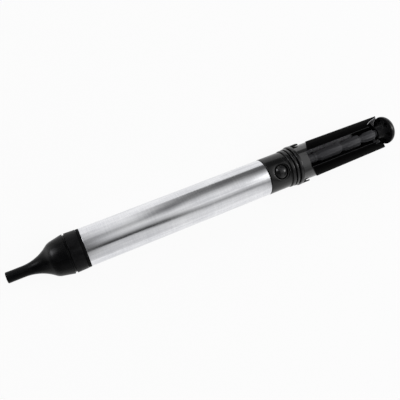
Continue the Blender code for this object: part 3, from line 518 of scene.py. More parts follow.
black_rubber, paint, place = new_surface("black_rubber")
skin = noise(place, RUBBER_SKIN, roughness=0.6)
clouds = noise(place, RUBBER_CLOUDS, detail=4.0, roughness=0.6)
bloom = rising(clouds, *RUBBER_BLOOMED)
shaded(
    paint,
    Base_Color=blend_colours(bloom, RUBBER_SHADE, RUBBER_BLOOM),
    Roughness=RUBBER_ROUGHNESS + bloom * RUBBER_DULLING,
    Specular_IOR_Level=RUBBER_SPECULAR,
    Normal=relief(skin, RUBBER_RELIEF, strength=0.6),
)
dress(gasket, black_rubber, "pump_body", "rubber", "front_gasket")
repaint(black_rubber, "nozzle_seal")


# The nozzle: black moulded plastic that stands heat, pulled off its O-ring when worn. A
# straight tube flares into a skirt over the cap's nose. The mould leaves a parting line
# down both sides, heat dulls the tip, and one spot on the shoulder is rubbed shiny.
NOZZLE_BORE_RADIUS = 0.0015
NOZZLE_WALL = 0.00115
NOZZLE_TUBE_LENGTH = 0.0075
FLARE_RADIUS = 0.0200
FLARE_ANGLE = 40.0
SHOULDER_RADIUS = 0.0060
SKIRT_ANGLE = 12.0
SKIRT_LENGTH = 0.0056
LIP_LENGTH = 0.0010
LIP_STEP = 0.0005
NOZZLE_EDGE = 0.00025
FUNNEL_SHARE = 0.72
FUNNEL_STEPS = 12
FLARE_STEPS = 24
SHOULDER_STEPS = 12
PARTING_WIDTH = 0.00016
HEAT_REACH = 0.0070
HEAT_RAGGED = 0.004
HEAT_SHARE = 0.5
RUBBED_LEAN = math.radians(28)
RUBBED_SIDE = math.radians(32)
RUBBED_SPREAD = (0.0010, 0.0050)
NOZZLE_SHADE = (0.0022, 0.0022, 0.0026, 1.0)
NOZZLE_DULL = (0.0075, 0.0075, 0.0080, 1.0)
NOZZLE_SPARKS = (2600.0, 2600.0, 2600.0)
NOZZLE_CLOUDS = (150.0, 240.0, 240.0)
NOZZLE_DUSTY = (0.40, 0.70)
NOZZLE_ROUGHNESS = 0.26
NOZZLE_DULLING = 0.16
NOZZLE_SPECULAR = 0.10
NOZZLE_POLISH = 0.45
NOZZLE_POLISH_ROUGHNESS = 0.30
NOZZLE_RELIEF = 0.00004

nozzle_low, nozzle_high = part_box("nozzle")
tube_radius = NOZZLE_BORE_RADIUS + NOZZLE_WALL
flare = math.radians(FLARE_ANGLE)
skirt = math.radians(SKIRT_ANGLE)
flare_start = nozzle_low.x + NOZZLE_TUBE_LENGTH
flare_centre = (flare_start, tube_radius + FLARE_RADIUS)
shoulder_centre = (
    flare_start + (FLARE_RADIUS + SHOULDER_RADIUS) * math.sin(flare),
    tube_radius + FLARE_RADIUS - (FLARE_RADIUS + SHOULDER_RADIUS) * math.cos(flare),
)
shoulder_top = shoulder_centre[1] + SHOULDER_RADIUS * math.cos(skirt)
lip_radius = shoulder_top + SKIRT_LENGTH * math.tan(skirt)
socket_radius = CAP_NOSE_RADIUS + SEAT_GAP
nozzle_end = cap_front - TIGHT_SEAM
funnel_radius = FLARE_RADIUS + NOZZLE_WALL
funnel_rise = FUNNEL_SHARE * (socket_radius - NOZZLE_WALL)
funnel_angle = math.degrees(math.acos(1 - funnel_rise / funnel_radius))
flare_outside = arc(flare_centre, FLARE_RADIUS, -90, FLARE_ANGLE - 90, FLARE_STEPS)
shoulder = arc(shoulder_centre, SHOULDER_RADIUS, FLARE_ANGLE + 90, SKIRT_ANGLE + 90, SHOULDER_STEPS)
funnel = arc(flare_centre, funnel_radius, funnel_angle - 90, -90, FUNNEL_STEPS)
nozzle = spun("nozzle_moulding", eased([
    (nozzle_low.x, NOZZLE_BORE_RADIUS),
    (nozzle_low.x, tube_radius),
    *flare_outside,
    *shoulder[1:],
    (nozzle_high.x - LIP_LENGTH, lip_radius),
    (nozzle_high.x - LIP_STEP, lip_radius),
    (nozzle_high.x - LIP_STEP, lip_radius - SEAM_DEPTH),
    (nozzle_end, lip_radius - SEAM_DEPTH),
    (nozzle_end, socket_radius),
    (cap_low.x - SEAT_GAP, socket_radius),
    (cap_low.x - SEAT_GAP, funnel[0][1]),
    *funnel,
    (nozzle_low.x, NOZZLE_BORE_RADIUS),
], NOZZLE_EDGE))

satin_nozzle, paint, place = new_surface("satin_black_nozzle")
x, y, z = split(place)
sparks = noise(place, NOZZLE_SPARKS, detail=2.0, roughness=0.6)
clouds = noise(place, NOZZLE_CLOUDS, detail=4.0, roughness=0.6)
hot = 1.0 - rising(x + clouds * HEAT_RAGGED, nozzle_low.x, nozzle_low.x + HEAT_REACH)
dull = rising(clouds, *NOZZLE_DUSTY) * (1 - HEAT_SHARE) + hot * HEAT_SHARE
seam = 1.0 - rising(abs(z - axis_height), 0.0, PARTING_WIDTH)
shoulder_reach = shoulder_centre[1] + SHOULDER_RADIUS * math.cos(RUBBED_LEAN)
rubbed_spot = (
    shoulder_centre[0] - SHOULDER_RADIUS * math.sin(RUBBED_LEAN),
    shoulder_reach * math.sin(RUBBED_SIDE),
    axis_height + shoulder_reach * math.cos(RUBBED_SIDE),
)
spot = place.node("VectorMath", {"operation": "DISTANCE"}, {0: place, 1: rubbed_spot}, output="Value")
shaded(
    paint,
    Base_Color=blend_colours(dull, NOZZLE_SHADE, NOZZLE_DULL),
    Roughness=NOZZLE_ROUGHNESS + dull * NOZZLE_DULLING,
    Specular_IOR_Level=NOZZLE_SPECULAR,
    Coat_Weight=NOZZLE_POLISH - rising(spot, *RUBBED_SPREAD) * NOZZLE_POLISH,
    Coat_Roughness=NOZZLE_POLISH_ROUGHNESS,
    Normal=relief(sparks * 0.3 + seam, NOZZLE_RELIEF, strength=0.5),
)
dress(nozzle, satin_nozzle, "pump_body", "satin_black", "nozzle")


# Inside the barrel: a coiled steel spring on its seat drives the white piston back, and
# shortens as the plunger goes in. A wire in the piston clears the nozzle, a rubber ring
# seals the piston, a steel washer backs it, and a rubber bumper takes its blow.
CLOSED_PITCH = 1.05
COIL_STEPS = 16
SPRING_WIRE = 0.0012
SPRING_RADIUS = 0.0059
SPRING_TURNS = 13.0
SPRING_END_TURNS = 1.25
STEEL_SHADE = (0.52, 0.52, 0.54, 1.0)
STEEL_BRIGHT = (0.70, 0.70, 0.72, 1.0)
DIE_GRAIN = (900.0, 900.0, 900.0)
OIL_CLOUDS = (160.0, 160.0, 160.0)
OILED = (0.35, 0.7)
SPRING_ROUGHNESS = 0.22
SPRING_DULLING = 0.14
STEEL_RELIEF = 0.000008
NYLON_SHADE = (0.70, 0.68, 0.62, 1.0)
NYLON_PALE = (0.80, 0.79, 0.75, 1.0)
NYLON_FLOW = (120.0, 300.0, 300.0)
NYLON_CLOUDY = (0.35, 0.7)
NYLON_ROUGHNESS = 0.36
NYLON_DULLING = 0.16
NYLON_RELIEF = 0.00002


def coil(name, foot, axis, outward, length, radius, wire, turns, end_turns):
    """A round wire wound from its foot along an axis, with its end turns closed up."""
    closed = wire * CLOSED_PITCH
    open_pitch = (length - wire - 2 * end_turns * closed) / (turns - 2 * end_turns)
    sideways = axis.cross(outward)
    points = []
    for i in range(round(turns * COIL_STEPS) + 1):
        done = i / COIL_STEPS
        shut = min(done, end_turns) + max(done - turns + end_turns, 0.0)
        height = wire / 2 + shut * closed + (done - shut) * open_pitch
        angle = 2 * math.pi * done
        around = outward * math.cos(angle) + sideways * math.sin(angle)
        points.append(foot + axis * height + around * radius)
    piece = drawn(name, points)
    bpy.ops.object.convert(target="CURVE")
    piece.data.bevel_depth = wire / 2
    piece.data.bevel_resolution = 2
    piece.data.use_fill_caps = True
    bpy.ops.object.convert(target="MESH")
    bpy.ops.object.shade_smooth_by_angle(angle=SHARP)
    return piece


spring_low, spring_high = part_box("main_spring")
spring_length = spring_high.x - spring_low.x
spring_foot = Vector((spring_low.x, 0.0, axis_height))
stroke = frame["joints"][0]["range_m"][1]
lengthways = Vector((1.0, 0.0, 0.0))
downwards = Vector((0.0, 0.0, -1.0))
main_coil = coil("main_spring_coil", spring_foot, lengthways, downwards, spring_length,
                 SPRING_RADIUS, SPRING_WIRE, SPRING_TURNS, SPRING_END_TURNS)

spring_steel, paint, place = new_surface("bright_spring_steel")
die_marks = noise(place, DIE_GRAIN, detail=4.0, roughness=0.65)
oiled = rising(noise(place, OIL_CLOUDS), *OILED)
shaded(
    paint,
    Base_Color=blend_colours(oiled, STEEL_SHADE, STEEL_BRIGHT),
    Metallic=1.0,
    Roughness=SPRING_ROUGHNESS + oiled * SPRING_DULLING,
    Normal=relief(die_marks, STEEL_RELIEF, strength=0.6),
)
dress(main_coil, spring_steel, "pump_body", "steel", "main_spring")
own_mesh(main_coil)
repaint(spring_steel, "spring_seat", "cleaning_pin", "piston_washer")

white_nylon, paint, place = new_surface("natural_nylon")
flow = noise(place, NYLON_FLOW, detail=4.0, roughness=0.6)
shaded(
    paint,
    Base_Color=blend_colours(rising(flow, *NYLON_CLOUDY), NYLON_SHADE, NYLON_PALE),
    Roughness=NYLON_ROUGHNESS + flow * NYLON_DULLING,
    Normal=relief(flow, NYLON_RELIEF, strength=0.5),
)
repaint(white_nylon, "piston")
repaint(black_rubber, "piston_o_ring", "stop_bumper")


# The rear housing: glossy black moulded plastic, pushed into the barrel's back end and
# sealed by an O-ring. It holds the button's well, the slot of the latch plate and the
# plunger's passage, and its rear tube carries the lock ring and the guard.
HOUSING_RADIUS = 0.0096
HOUSING_LENGTH = 0.01175
HOUSING_EDGE = 0.0004
HOUSING_FINE_EDGE = 0.00012
HOUSING_GROOVE_DEPTH = 0.0006
HOUSING_GROOVE_WIDTH = 0.0007
LAND_RADIUS = 0.00995
LAND_WIDTH = 0.0019
REAR_TUBE_RADIUS = 0.0079
TOOTH_HEIGHT = 0.0032
TOOTH_WIDTH = 0.0024
PASSAGE_RADIUS = math.hypot(TOOTH_HEIGHT, TOOTH_WIDTH / 2) + 0.0004
SEAL_SECTION = 0.0014
SEAL_GAP = 0.00015
RECESS_RADIUS = 0.00445
RECESS_DEPTH = 0.0013
WELL_FLOOR = 0.0018
PLATE_THICKNESS = 0.0008
FOOT_HALF = 0.0017
BUTTON_TRAVEL = 0.0016
HOUSING_SHADE = (0.0035, 0.0035, 0.0038, 1.0)
HOUSING_SCUFF = (0.012, 0.012, 0.0125, 1.0)
HOUSING_SWIRL = (70.0, 320.0, 320.0)
HOUSING_FINE = (1500.0, 1500.0, 1500.0)
HOUSING_SCUFFS = (500.0, 90.0, 90.0)
HOUSING_SCUFFED = (0.58, 0.74)
HOUSING_ROUGHNESS = 0.20
HOUSING_DULLING = 0.2
HOUSING_SPECULAR = 0.40
HOUSING_RELIEF = 0.00003


def block(name, low, high):
    """A rectangular tool between two corners."""
    deselect()
    middle = [(a + b) / 2 for a, b in zip(low, high)]
    size = [b - a for a, b in zip(low, high)]
    bpy.ops.mesh.primitive_cube_add(size=1.0, location=middle, scale=size)
    tool = bpy.context.active_object
    tool.name = name
    bpy.ops.object.transform_apply(location=True, rotation=True, scale=True)
    return tool


def peg(name, start, end, radius, sides=64):
    """A round tool from one point to another."""
    deselect()
    run = Vector(end) - Vector(start)
    bpy.ops.mesh.primitive_cylinder_add(
        vertices=sides,
        radius=radius,
        depth=run.length,
        location=(Vector(start) + Vector(end)) / 2,
        rotation=run.to_track_quat("Z", "Y").to_euler(),
    )
    tool = bpy.context.active_object
    tool.name = name
    bpy.ops.object.transform_apply(location=True, rotation=True, scale=True)
    return tool


def cut(piece, tool, operation="DIFFERENCE"):
    """Cut a tool's shape out of a piece, or join it on, and take the tool away."""
    choose(piece)
    bpy.ops.object.modifier_add(type="BOOLEAN")
    joined = piece.modifiers[-1]
    joined.operation = operation
    joined.solver = "EXACT"
    joined.object = tool
    bpy.ops.object.modifier_apply(modifier=joined.name)
    bpy.data.objects.remove(tool, do_unlink=True)


def rounded(piece, width, segments=2, angle=SHARP):
    """Round the edges that are still sharp, and shade the piece smooth."""
    choose(piece)
    bpy.ops.object.modifier_add(type="BEVEL")
    bevel = piece.modifiers[-1]
    bevel.width = width
    bevel.segments = segments
    bevel.angle_limit = angle
    bpy.ops.object.modifier_apply(modifier=bevel.name)
    bpy.ops.object.shade_smooth_by_angle(angle=angle)


housing_low, housing_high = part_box("rear_housing")
housing_front = barrel_high.x + SEAT_GAP
groove_front = housing_front + HOUSING_LENGTH
land_front = groove_front + HOUSING_GROOVE_WIDTH
land_back = land_front + LAND_WIDTH
ring_seal_low, ring_seal_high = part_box("housing_o_ring")
seal_floor = CAP_SPIGOT_RADIUS - SEAL_SECTION
housing = spun("rear_housing_moulding", eased([
    (housing_low.x, PASSAGE_RADIUS),
    (housing_low.x, CAP_SPIGOT_RADIUS),
    (ring_seal_low.x - SEAL_GAP, CAP_SPIGOT_RADIUS),
    (ring_seal_low.x - SEAL_GAP, seal_floor),
    (ring_seal_high.x + SEAL_GAP, seal_floor),
    (ring_seal_high.x + SEAL_GAP, CAP_SPIGOT_RADIUS),
    (housing_front, CAP_SPIGOT_RADIUS),
    (housing_front, HOUSING_RADIUS),
    (groove_front, HOUSING_RADIUS),
    (groove_front, HOUSING_RADIUS - HOUSING_GROOVE_DEPTH),
    (land_front, HOUSING_RADIUS - HOUSING_GROOVE_DEPTH),
    (land_front, LAND_RADIUS),
    (land_back, LAND_RADIUS),
    (land_back, REAR_TUBE_RADIUS),
    (housing_high.x, REAR_TUBE_RADIUS),
    (housing_high.x, PASSAGE_RADIUS),
    (housing_low.x, PASSAGE_RADIUS),
], HOUSING_EDGE))

button_low, button_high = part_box("release_button")
plate_low, plate_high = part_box("latch_plate")
coil_low, coil_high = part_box("button_spring")
button_x = (button_low.x + button_high.x) / 2
button_radius = (button_high.x - button_low.x) / 2
recess_floor = axis_height + HOUSING_RADIUS - RECESS_DEPTH
slot_floor = plate_low.z - BUTTON_TRAVEL - SEAT_GAP
well_foot = (button_x, 0.0, axis_height + WELL_FLOOR)
recess_foot = (button_x, 0.0, recess_floor)
well_top = (button_x, 0.0, axis_height + LAND_RADIUS + SEAT_GAP)
cut(housing, peg("button_well", well_foot, well_top, button_radius + SEAT_GAP))
cut(housing, peg("button_recess", recess_foot, well_top, RECESS_RADIUS))
cut(housing, block(
    "plate_slot",
    (plate_low.x - SEAT_GAP, plate_low.y - SEAT_GAP, slot_floor),
    (plate_low.x + PLATE_THICKNESS + SEAT_GAP, plate_high.y + SEAT_GAP, plate_high.z),
))
cut(housing, block(
    "foot_slot",
    (button_x, -FOOT_HALF - SEAT_GAP, slot_floor - SEAT_GAP),
    (plate_high.x + SEAT_GAP, FOOT_HALF + SEAT_GAP, axis_height),
))
coil_x = (coil_low.x + coil_high.x) / 2
coil_well_radius = (coil_high.x - coil_low.x) / 2 + SEAT_GAP
coil_well_foot = (coil_x, 0.0, coil_low.z - SEAT_GAP)
cut(housing, peg("spring_well", coil_well_foot, (coil_x, 0.0, plate_low.z), coil_well_radius))
rounded(housing, HOUSING_FINE_EDGE)

glossy_housing, paint, place = new_surface("glossy_black_housing")
swirl = noise(place, HOUSING_SWIRL, detail=4.0, roughness=0.6)
fine = noise(place, HOUSING_FINE, detail=2.0)
scuffs = rising(noise(place, HOUSING_SCUFFS, detail=5.0, roughness=0.7), *HOUSING_SCUFFED)
shaded(
    paint,
    Base_Color=blend_colours(scuffs, HOUSING_SHADE, HOUSING_SCUFF),
    Roughness=HOUSING_ROUGHNESS + scuffs * HOUSING_DULLING,
    Specular_IOR_Level=HOUSING_SPECULAR,
    Normal=relief(swirl * 0.8 + fine * 0.2, HOUSING_RELIEF, strength=0.5),
)
dress(housing, glossy_housing, "pump_body", "gloss_black", "rear_housing")
repaint(black_rubber, "housing_o_ring")


# The latch: a stamped steel plate that rings the rod and catches its tooth. A small
# coiled spring in the housing holds it up, and shortens when the button is pressed.
BUTTON_SPRING_WIRE = 0.0003
BUTTON_SPRING_RADIUS = 0.0014
BUTTON_SPRING_TURNS = 3.5
BUTTON_SPRING_END_TURNS = 0.625
PLATE_GRAIN = (200.0, 200.0, 1600.0)
PLATE_CLOUDS = (300.0, 300.0, 300.0)
PLATE_ROUGHNESS = 0.26
PLATE_DULLING = 0.12

coil_length = coil_high.z - coil_low.z
coil_foot = Vector((coil_x, 0.0, coil_low.z))
upwards = Vector((0.0, 0.0, 1.0))
small_coil = coil("button_spring_coil", coil_foot, upwards, lengthways, coil_length,
                  BUTTON_SPRING_RADIUS, BUTTON_SPRING_WIRE, BUTTON_SPRING_TURNS,
                  BUTTON_SPRING_END_TURNS)
dress(small_coil, spring_steel, "pump_body", "steel", "button_spring")
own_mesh(small_coil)

latch_steel, paint, place = new_surface("stamped_steel")
rolled = noise(place, PLATE_GRAIN, detail=4.0, roughness=0.6)
oiled = rising(noise(place, PLATE_CLOUDS), *OILED)
shaded(
    paint,
    Base_Color=blend_colours(oiled, STEEL_SHADE, STEEL_BRIGHT),
    Metallic=1.0,
    Roughness=PLATE_ROUGHNESS + oiled * PLATE_DULLING,
    Normal=relief(rolled, STEEL_RELIEF, strength=0.6),
)
repaint(latch_steel, "latch_plate")


# The release button: a domed black moulding in its well, with the latch plate's tongue
# pushed into a slot underneath. Thumbs have rubbed its dome a little paler.
BUTTON_DOME = 0.0019
TONGUE_HALF = 0.0018
BUTTON_EDGE = 0.0003
BUTTON_SIDES = 96
DOME_STEPS = 20
BUTTON_SHADE = (0.0040, 0.0040, 0.0042, 1.0)
BUTTON_RUB = (0.014, 0.014, 0.0145, 1.0)
BUTTON_FINE = (1400.0, 1400.0, 1400.0)
BUTTON_CLOUDS = (380.0, 380.0, 380.0)
BUTTON_RUBBED = (0.42, 0.68)
BUTTON_ROUGHNESS = 0.20
BUTTON_DULLING = 0.16
BUTTON_SPECULAR = 0.45
BUTTON_RELIEF = 0.000008

dome_radius = (button_radius ** 2 + BUTTON_DOME ** 2) / (2 * BUTTON_DOME)
dome_angle = math.degrees(math.asin(button_radius / dome_radius))
dome = arc((button_high.z - dome_radius, 0.0), dome_radius, 0.0, dome_angle, DOME_STEPS)
button = spun("release_button_moulding", eased([
    (button_high.z, 0.0),
    *dome[1:],
    (button_low.z, button_radius),
    (button_low.z, 0.0),
], BUTTON_EDGE), BUTTON_SIDES, upright_x=button_x)
cut(button, block(
    "tongue_slot",
    (plate_low.x - SEAT_GAP, -TONGUE_HALF - SEAT_GAP, button_low.z - SEAT_GAP),
    (plate_low.x + PLATE_THICKNESS + SEAT_GAP, TONGUE_HALF + SEAT_GAP, plate_high.z + SEAT_GAP),
))
choose(button)
bpy.ops.object.shade_smooth_by_angle(angle=SHARP)

glossy_button, paint, place = new_surface("glossy_black_button")
x, y, z = split(place)
fine = noise(place, BUTTON_FINE, detail=2.0)
clouds = noise(place, BUTTON_CLOUDS, detail=4.0, roughness=0.6)
rub = rising(clouds, *BUTTON_RUBBED) * rising(z, recess_floor, button_high.z)
shaded(
    paint,
    Base_Color=blend_colours(rub, BUTTON_SHADE, BUTTON_RUB),
    Roughness=BUTTON_ROUGHNESS + rub * BUTTON_DULLING,
    Specular_IOR_Level=BUTTON_SPECULAR,
    Normal=relief(fine, BUTTON_RELIEF, strength=0.6),
)
dress(button, glossy_button, "button", "gloss_black", "release_button")


# The lock ring: a glossy black moulding that is pushed over the housing's rear tube.
# Its wide flange stops the fingers, and two thin tabs reach over the guard's neck.
RING_LAND_RADIUS = 0.01015
RING_LAND_WIDTH = 0.0013
RING_WAIST_WIDTH = 0.0008
RING_EDGE = 0.00035
RING_FINE_EDGE = 0.0001
FLANGE_WIDTH = 0.0018
TAB_THICKNESS = 0.0006
TAB_HALF_ANGLE = math.radians(15)
TAB_INSET = 0.00015
RING_SHADE = (0.0045, 0.0045, 0.0048, 1.0)
RING_SCUFF = (0.020, 0.020, 0.021, 1.0)
TAB_SHADE = (0.0015, 0.0015, 0.0015, 1.0)
RING_SWIRL = (200.0, 260.0, 260.0)
RING_FINE = (1500.0, 1500.0, 1500.0)
RING_SCUFFS = (260.0, 120.0, 120.0)
RING_SCUFFED = (0.54, 0.72)
RING_POLISH_FADE = 0.0002
RING_POLISH_ROUGHNESS = 0.20
RING_ROUGHNESS = 0.40
RING_SPECULAR = 0.03
RING_RELIEF = 0.00003

ring_low, ring_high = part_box("lock_ring")
flange_radius = axis_height
flange_front = ring_low.x + RING_LAND_WIDTH + RING_WAIST_WIDTH
flange_back = flange_front + FLANGE_WIDTH
ring_bore = REAR_TUBE_RADIUS + SEAT_GAP
waist_radius = HOUSING_RADIUS - HOUSING_GROOVE_DEPTH
lock_ring = spun("lock_ring_moulding", eased([
    (ring_low.x, ring_bore),
    (ring_low.x, RING_LAND_RADIUS),
    (ring_low.x + RING_LAND_WIDTH, RING_LAND_RADIUS),
    (ring_low.x + RING_LAND_WIDTH, waist_radius),
    (flange_front, waist_radius),
    (flange_front, flange_radius),
    (flange_back, flange_radius),
    (flange_back, ring_bore),
    (ring_low.x, ring_bore),
], RING_EDGE))
tab_radius = flange_radius - TAB_INSET
tab_inner = tab_radius - TAB_THICKNESS
tab_front = flange_back - FLANGE_WIDTH / 2
tab_half = tab_radius * math.sin(TAB_HALF_ANGLE)
tabs = spun("lock_ring_tabs", [
    (tab_front, tab_inner),
    (tab_front, tab_radius),
    (ring_high.x, tab_radius),
    (ring_high.x, tab_inner),
    (tab_front, tab_inner),
])
cut(tabs, block(
    "tab_width",
    (tab_front - SEAT_GAP, -2 * tab_radius, axis_height - tab_half),
    (ring_high.x + SEAT_GAP, 2 * tab_radius, axis_height + tab_half),
), "INTERSECT")
cut(lock_ring, tabs, "UNION")
rounded(lock_ring, RING_FINE_EDGE)

glossy_ring, paint, place = new_surface("glossy_black_ring")
x, y, z = split(place)
swirl = noise(place, RING_SWIRL, detail=4.0, roughness=0.6)
fine = noise(place, RING_FINE, detail=2.0)
scuffs = rising(noise(place, RING_SCUFFS, detail=5.0, roughness=0.7), *RING_SCUFFED)
polished = 1.0 - rising(x, flange_back - RING_POLISH_FADE, flange_back)
shaded(
    paint,
    Base_Color=blend_colours(polished, TAB_SHADE, blend_colours(scuffs, RING_SHADE, RING_SCUFF)),
    Roughness=RING_ROUGHNESS,
    Specular_IOR_Level=RING_SPECULAR,
    Coat_Weight=polished,
    Coat_Roughness=RING_POLISH_ROUGHNESS,
    Normal=relief(swirl * 0.8 + fine * 0.2, RING_RELIEF, strength=0.5),
)
dress(lock_ring, glossy_ring, "pump_body", "gloss_black", "lock_ring")


# The guard: a long black moulding with a polished neck under the tabs and a matte
# trough, open above, so that the thumb can follow the knob. Its far end is scooped and its
# floor runs on under the knob. Inside, light is painted pale on the walls of the far end and
# in a strip on one wall, and a painted highlight runs along the window's edges.
NECK_RADIUS = 0.0094
NECK_LENGTH = 0.00455
NECK_SLANT = math.radians(31)
GUARD_RADIUS = 0.009775
GUARD_END_RADIUS = 0.00905
GUARD_BORE_RADIUS = 0.00835
WINDOW_HALF = 0.00435
WINDOW_TURN = math.radians(6)
SCOOP_LENGTH = 0.0106
SCOOP_HEIGHT = 0.0065
SCOOP_END_HEIGHT = 0.0022
SCOOP_TURN = math.radians(9)
TONGUE_LENGTH = 0.0060
TONGUE_SLANT = math.radians(35)
GUARD_EDGE = 0.0002
GUARD_FINE_EDGE = 0.00012
BORE_SHOWS = (0.00855, 0.00870)
NECK_LINE = 0.0001
# Painted light: a pale lit strip on the trough's +Y wall, whose slanted back end is a painted shadow
# edge.
LIT_STRIP_FRONT = 0.0500
LIT_STRIP_BACK = 0.0875
LIT_STRIP_SIDE = 0.0015
LIT_STRIP_LEANS = (0.3, 0.4)
LIT_STRIP_FADES = (0.006, 0.003)
# Painted light: pale patches of light inside the far end of the trough, one on the +Y wall and a
# round one low on the -Y side.
END_LIGHT_LEANS = (1.33, 0.2)
END_LIGHT_FRONT = (-0.0085, -0.0078)
END_LIGHT_BACK = (0.0016, 0.0024)
END_LIGHT_SIDE = (0.003, 0.004)
RIM_LIGHT_BACK = 0.0006
RIM_LIGHT_SIDE = -0.0050
RIM_LIGHT_DROP = 0.0066
RIM_LIGHT_SPREAD = (0.0014, 0.0022)
# Painted highlight: a thin grey line along the window's cut edges, above the axis and off the neck.
EDGE_HIGHLIGHT_WIDTH = 0.00022
EDGE_HIGHLIGHT_RISE = 0.002
GUARD_SHADE = (0.0012, 0.0012, 0.0012, 1.0)
GUARD_RUB = (0.0030, 0.0030, 0.0031, 1.0)
NECK_SHADE = (0.006, 0.006, 0.0065, 1.0)
TROUGH_SHADE = (0.0060, 0.0060, 0.0062, 1.0)
# Painted light: the pale grey of the trough's lit strip.
TROUGH_LIT_STRIP = (0.330, 0.330, 0.345, 1.0)
# Painted light: the pale grey of the light patches at the trough's far end.
TROUGH_END_LIGHT = (0.380, 0.380, 0.390, 1.0)
EDGE_HIGHLIGHT_GREY = (0.045, 0.045, 0.047, 1.0)
GUARD_SPARKS = (2200.0, 2200.0, 2200.0)
GUARD_STREAKS = (60.0, 500.0, 500.0)
GUARD_RUBBED = (0.5, 0.75)
GUARD_ROUGHNESS = 0.62
GUARD_DULLING = 0.12
GUARD_SPECULAR = 0.015
NECK_SMOOTHING = 0.2
NECK_POLISH_IOR = 1.75
NECK_POLISH_ROUGHNESS = 0.12
GUARD_RELIEF = 0.00003


def turned_about_axis(tool, angle):
    """Turn a tool about the pump's axis, towards +Y."""
    middle = Matrix.Translation((0.0, 0.0, axis_height))
    tool.matrix_world = middle @ Matrix.Rotation(-angle, 4, "X") @ middle.inverted()
    return tool


def tipped(tool, place, angle):
    """Tip a tool about the level line across the pump that runs through a place."""
    hinge = Matrix.Translation(place)
    tool.matrix_world = hinge @ Matrix.Rotation(angle, 4, "Y") @ Matrix.Translation(-place)
    return tool


def slanted_end(name, place, slant):
    """A tool that fills all behind a plane whose top leans so far towards the nozzle."""
    tool = block(name, place + Vector((0.0, -reach, -reach)), place + Vector((reach, reach, reach)))
    return tipped(tool, place, -slant)


guard_low, guard_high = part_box("guard")
neck_back = guard_low.x + NECK_LENGTH
tongue_end = guard_high.x + TONGUE_LENGTH
guard = spun("guard_moulding", eased([
    (guard_low.x, ring_bore),
    (guard_low.x, GUARD_RADIUS),
    (neck_back, GUARD_RADIUS),
    (guard_high.x, GUARD_END_RADIUS),
    (tongue_end, GUARD_END_RADIUS),
    (tongue_end, GUARD_BORE_RADIUS),
    (housing_high.x + SEAT_GAP, GUARD_BORE_RADIUS),
    (housing_high.x, ring_bore),
    (guard_low.x, ring_bore),
], GUARD_EDGE))
sleeve_front = guard_low.x - SEAT_GAP
sleeve_back = neck_back + 2 * GUARD_RADIUS
sleeve_radius = GUARD_RADIUS + SEAT_GAP
neck_sleeve = spun("neck_sleeve", [
    (sleeve_front, NECK_RADIUS),
    (sleeve_front, sleeve_radius),
    (sleeve_back, sleeve_radius),
    (sleeve_back, NECK_RADIUS),
    (sleeve_front, NECK_RADIUS),
])
slant_x = neck_back + SEAT_GAP + NECK_RADIUS * math.tan(NECK_SLANT)
reach = 4 * GUARD_RADIUS
cut(neck_sleeve, slanted_end("neck_slant", Vector((slant_x, 0.0, axis_height)), NECK_SLANT))
cut(guard, neck_sleeve)
cut(guard, slanted_end("end_slant", Vector((guard_high.x, 0.0, axis_height)), TONGUE_SLANT))
past_end = tongue_end + SEAT_GAP
window = block(
    "window",
    (neck_back, -WINDOW_HALF, axis_height),
    (past_end, WINDOW_HALF, axis_height + GUARD_RADIUS + 2 * SEAT_GAP),
)
cut(guard, turned_about_axis(window, WINDOW_TURN))
scoop_front = guard_high.x - SCOOP_LENGTH
scoop = block(
    "scoop",
    (scoop_front, -2 * GUARD_RADIUS, axis_height + SCOOP_END_HEIGHT),
    (guard_high.x + SEAT_GAP, 2 * GUARD_RADIUS, axis_height + 2 * GUARD_RADIUS),
)
bpy.ops.object.mode_set(mode="EDIT")
bpy.ops.mesh.select_mode(type="VERT")
bpy.ops.mesh.select_all(action="DESELECT")
bpy.ops.object.mode_set(mode="OBJECT")
for corner in scoop.data.vertices:
    corner.select = corner.co.x < scoop_front + SEAT_GAP and corner.co.z < axis_height + SCOOP_HEIGHT
bpy.ops.object.mode_set(mode="EDIT")
bpy.ops.transform.translate(value=(0.0, 0.0, SCOOP_HEIGHT - SCOOP_END_HEIGHT))
bpy.ops.object.mode_set(mode="OBJECT")
cut(guard, turned_about_axis(scoop, SCOOP_TURN))
rounded(guard, GUARD_FINE_EDGE)

matte_guard, paint, place = new_surface("matte_black_guard")
x, y, z = split(place)
height = z - axis_height
sparks = noise(place, GUARD_SPARKS, roughness=0.65)
streaks = noise(place, GUARD_STREAKS, detail=4.0, roughness=0.6)
rub = rising(streaks, *GUARD_RUBBED)
bore_shows, bore_ends = (radius ** 2 for radius in BORE_SHOWS)
inside = 1.0 - rising(y * y + height * height, bore_shows, bore_ends)
behind_neck = rising(x + height * math.tan(NECK_SLANT), slant_x, slant_x + NECK_LINE)
neck = (1.0 - behind_neck) * (1.0 - inside)
# Painted light: the trough's +Y wall is painted pale grey in a lit strip that ends in a slanted
# painted shadow.
front_lean, back_lean = LIT_STRIP_LEANS
front_fade, back_fade = LIT_STRIP_FADES
lit_strip_front = rising(x + y * front_lean, LIT_STRIP_FRONT, LIT_STRIP_FRONT + front_fade)
lit_strip_back = 1.0 - rising(x + y * back_lean, LIT_STRIP_BACK, LIT_STRIP_BACK + back_fade)
painted_lit_strip = rising(y, 0.0, LIT_STRIP_SIDE) * lit_strip_front * lit_strip_back * (0.7 + streaks * 0.5)
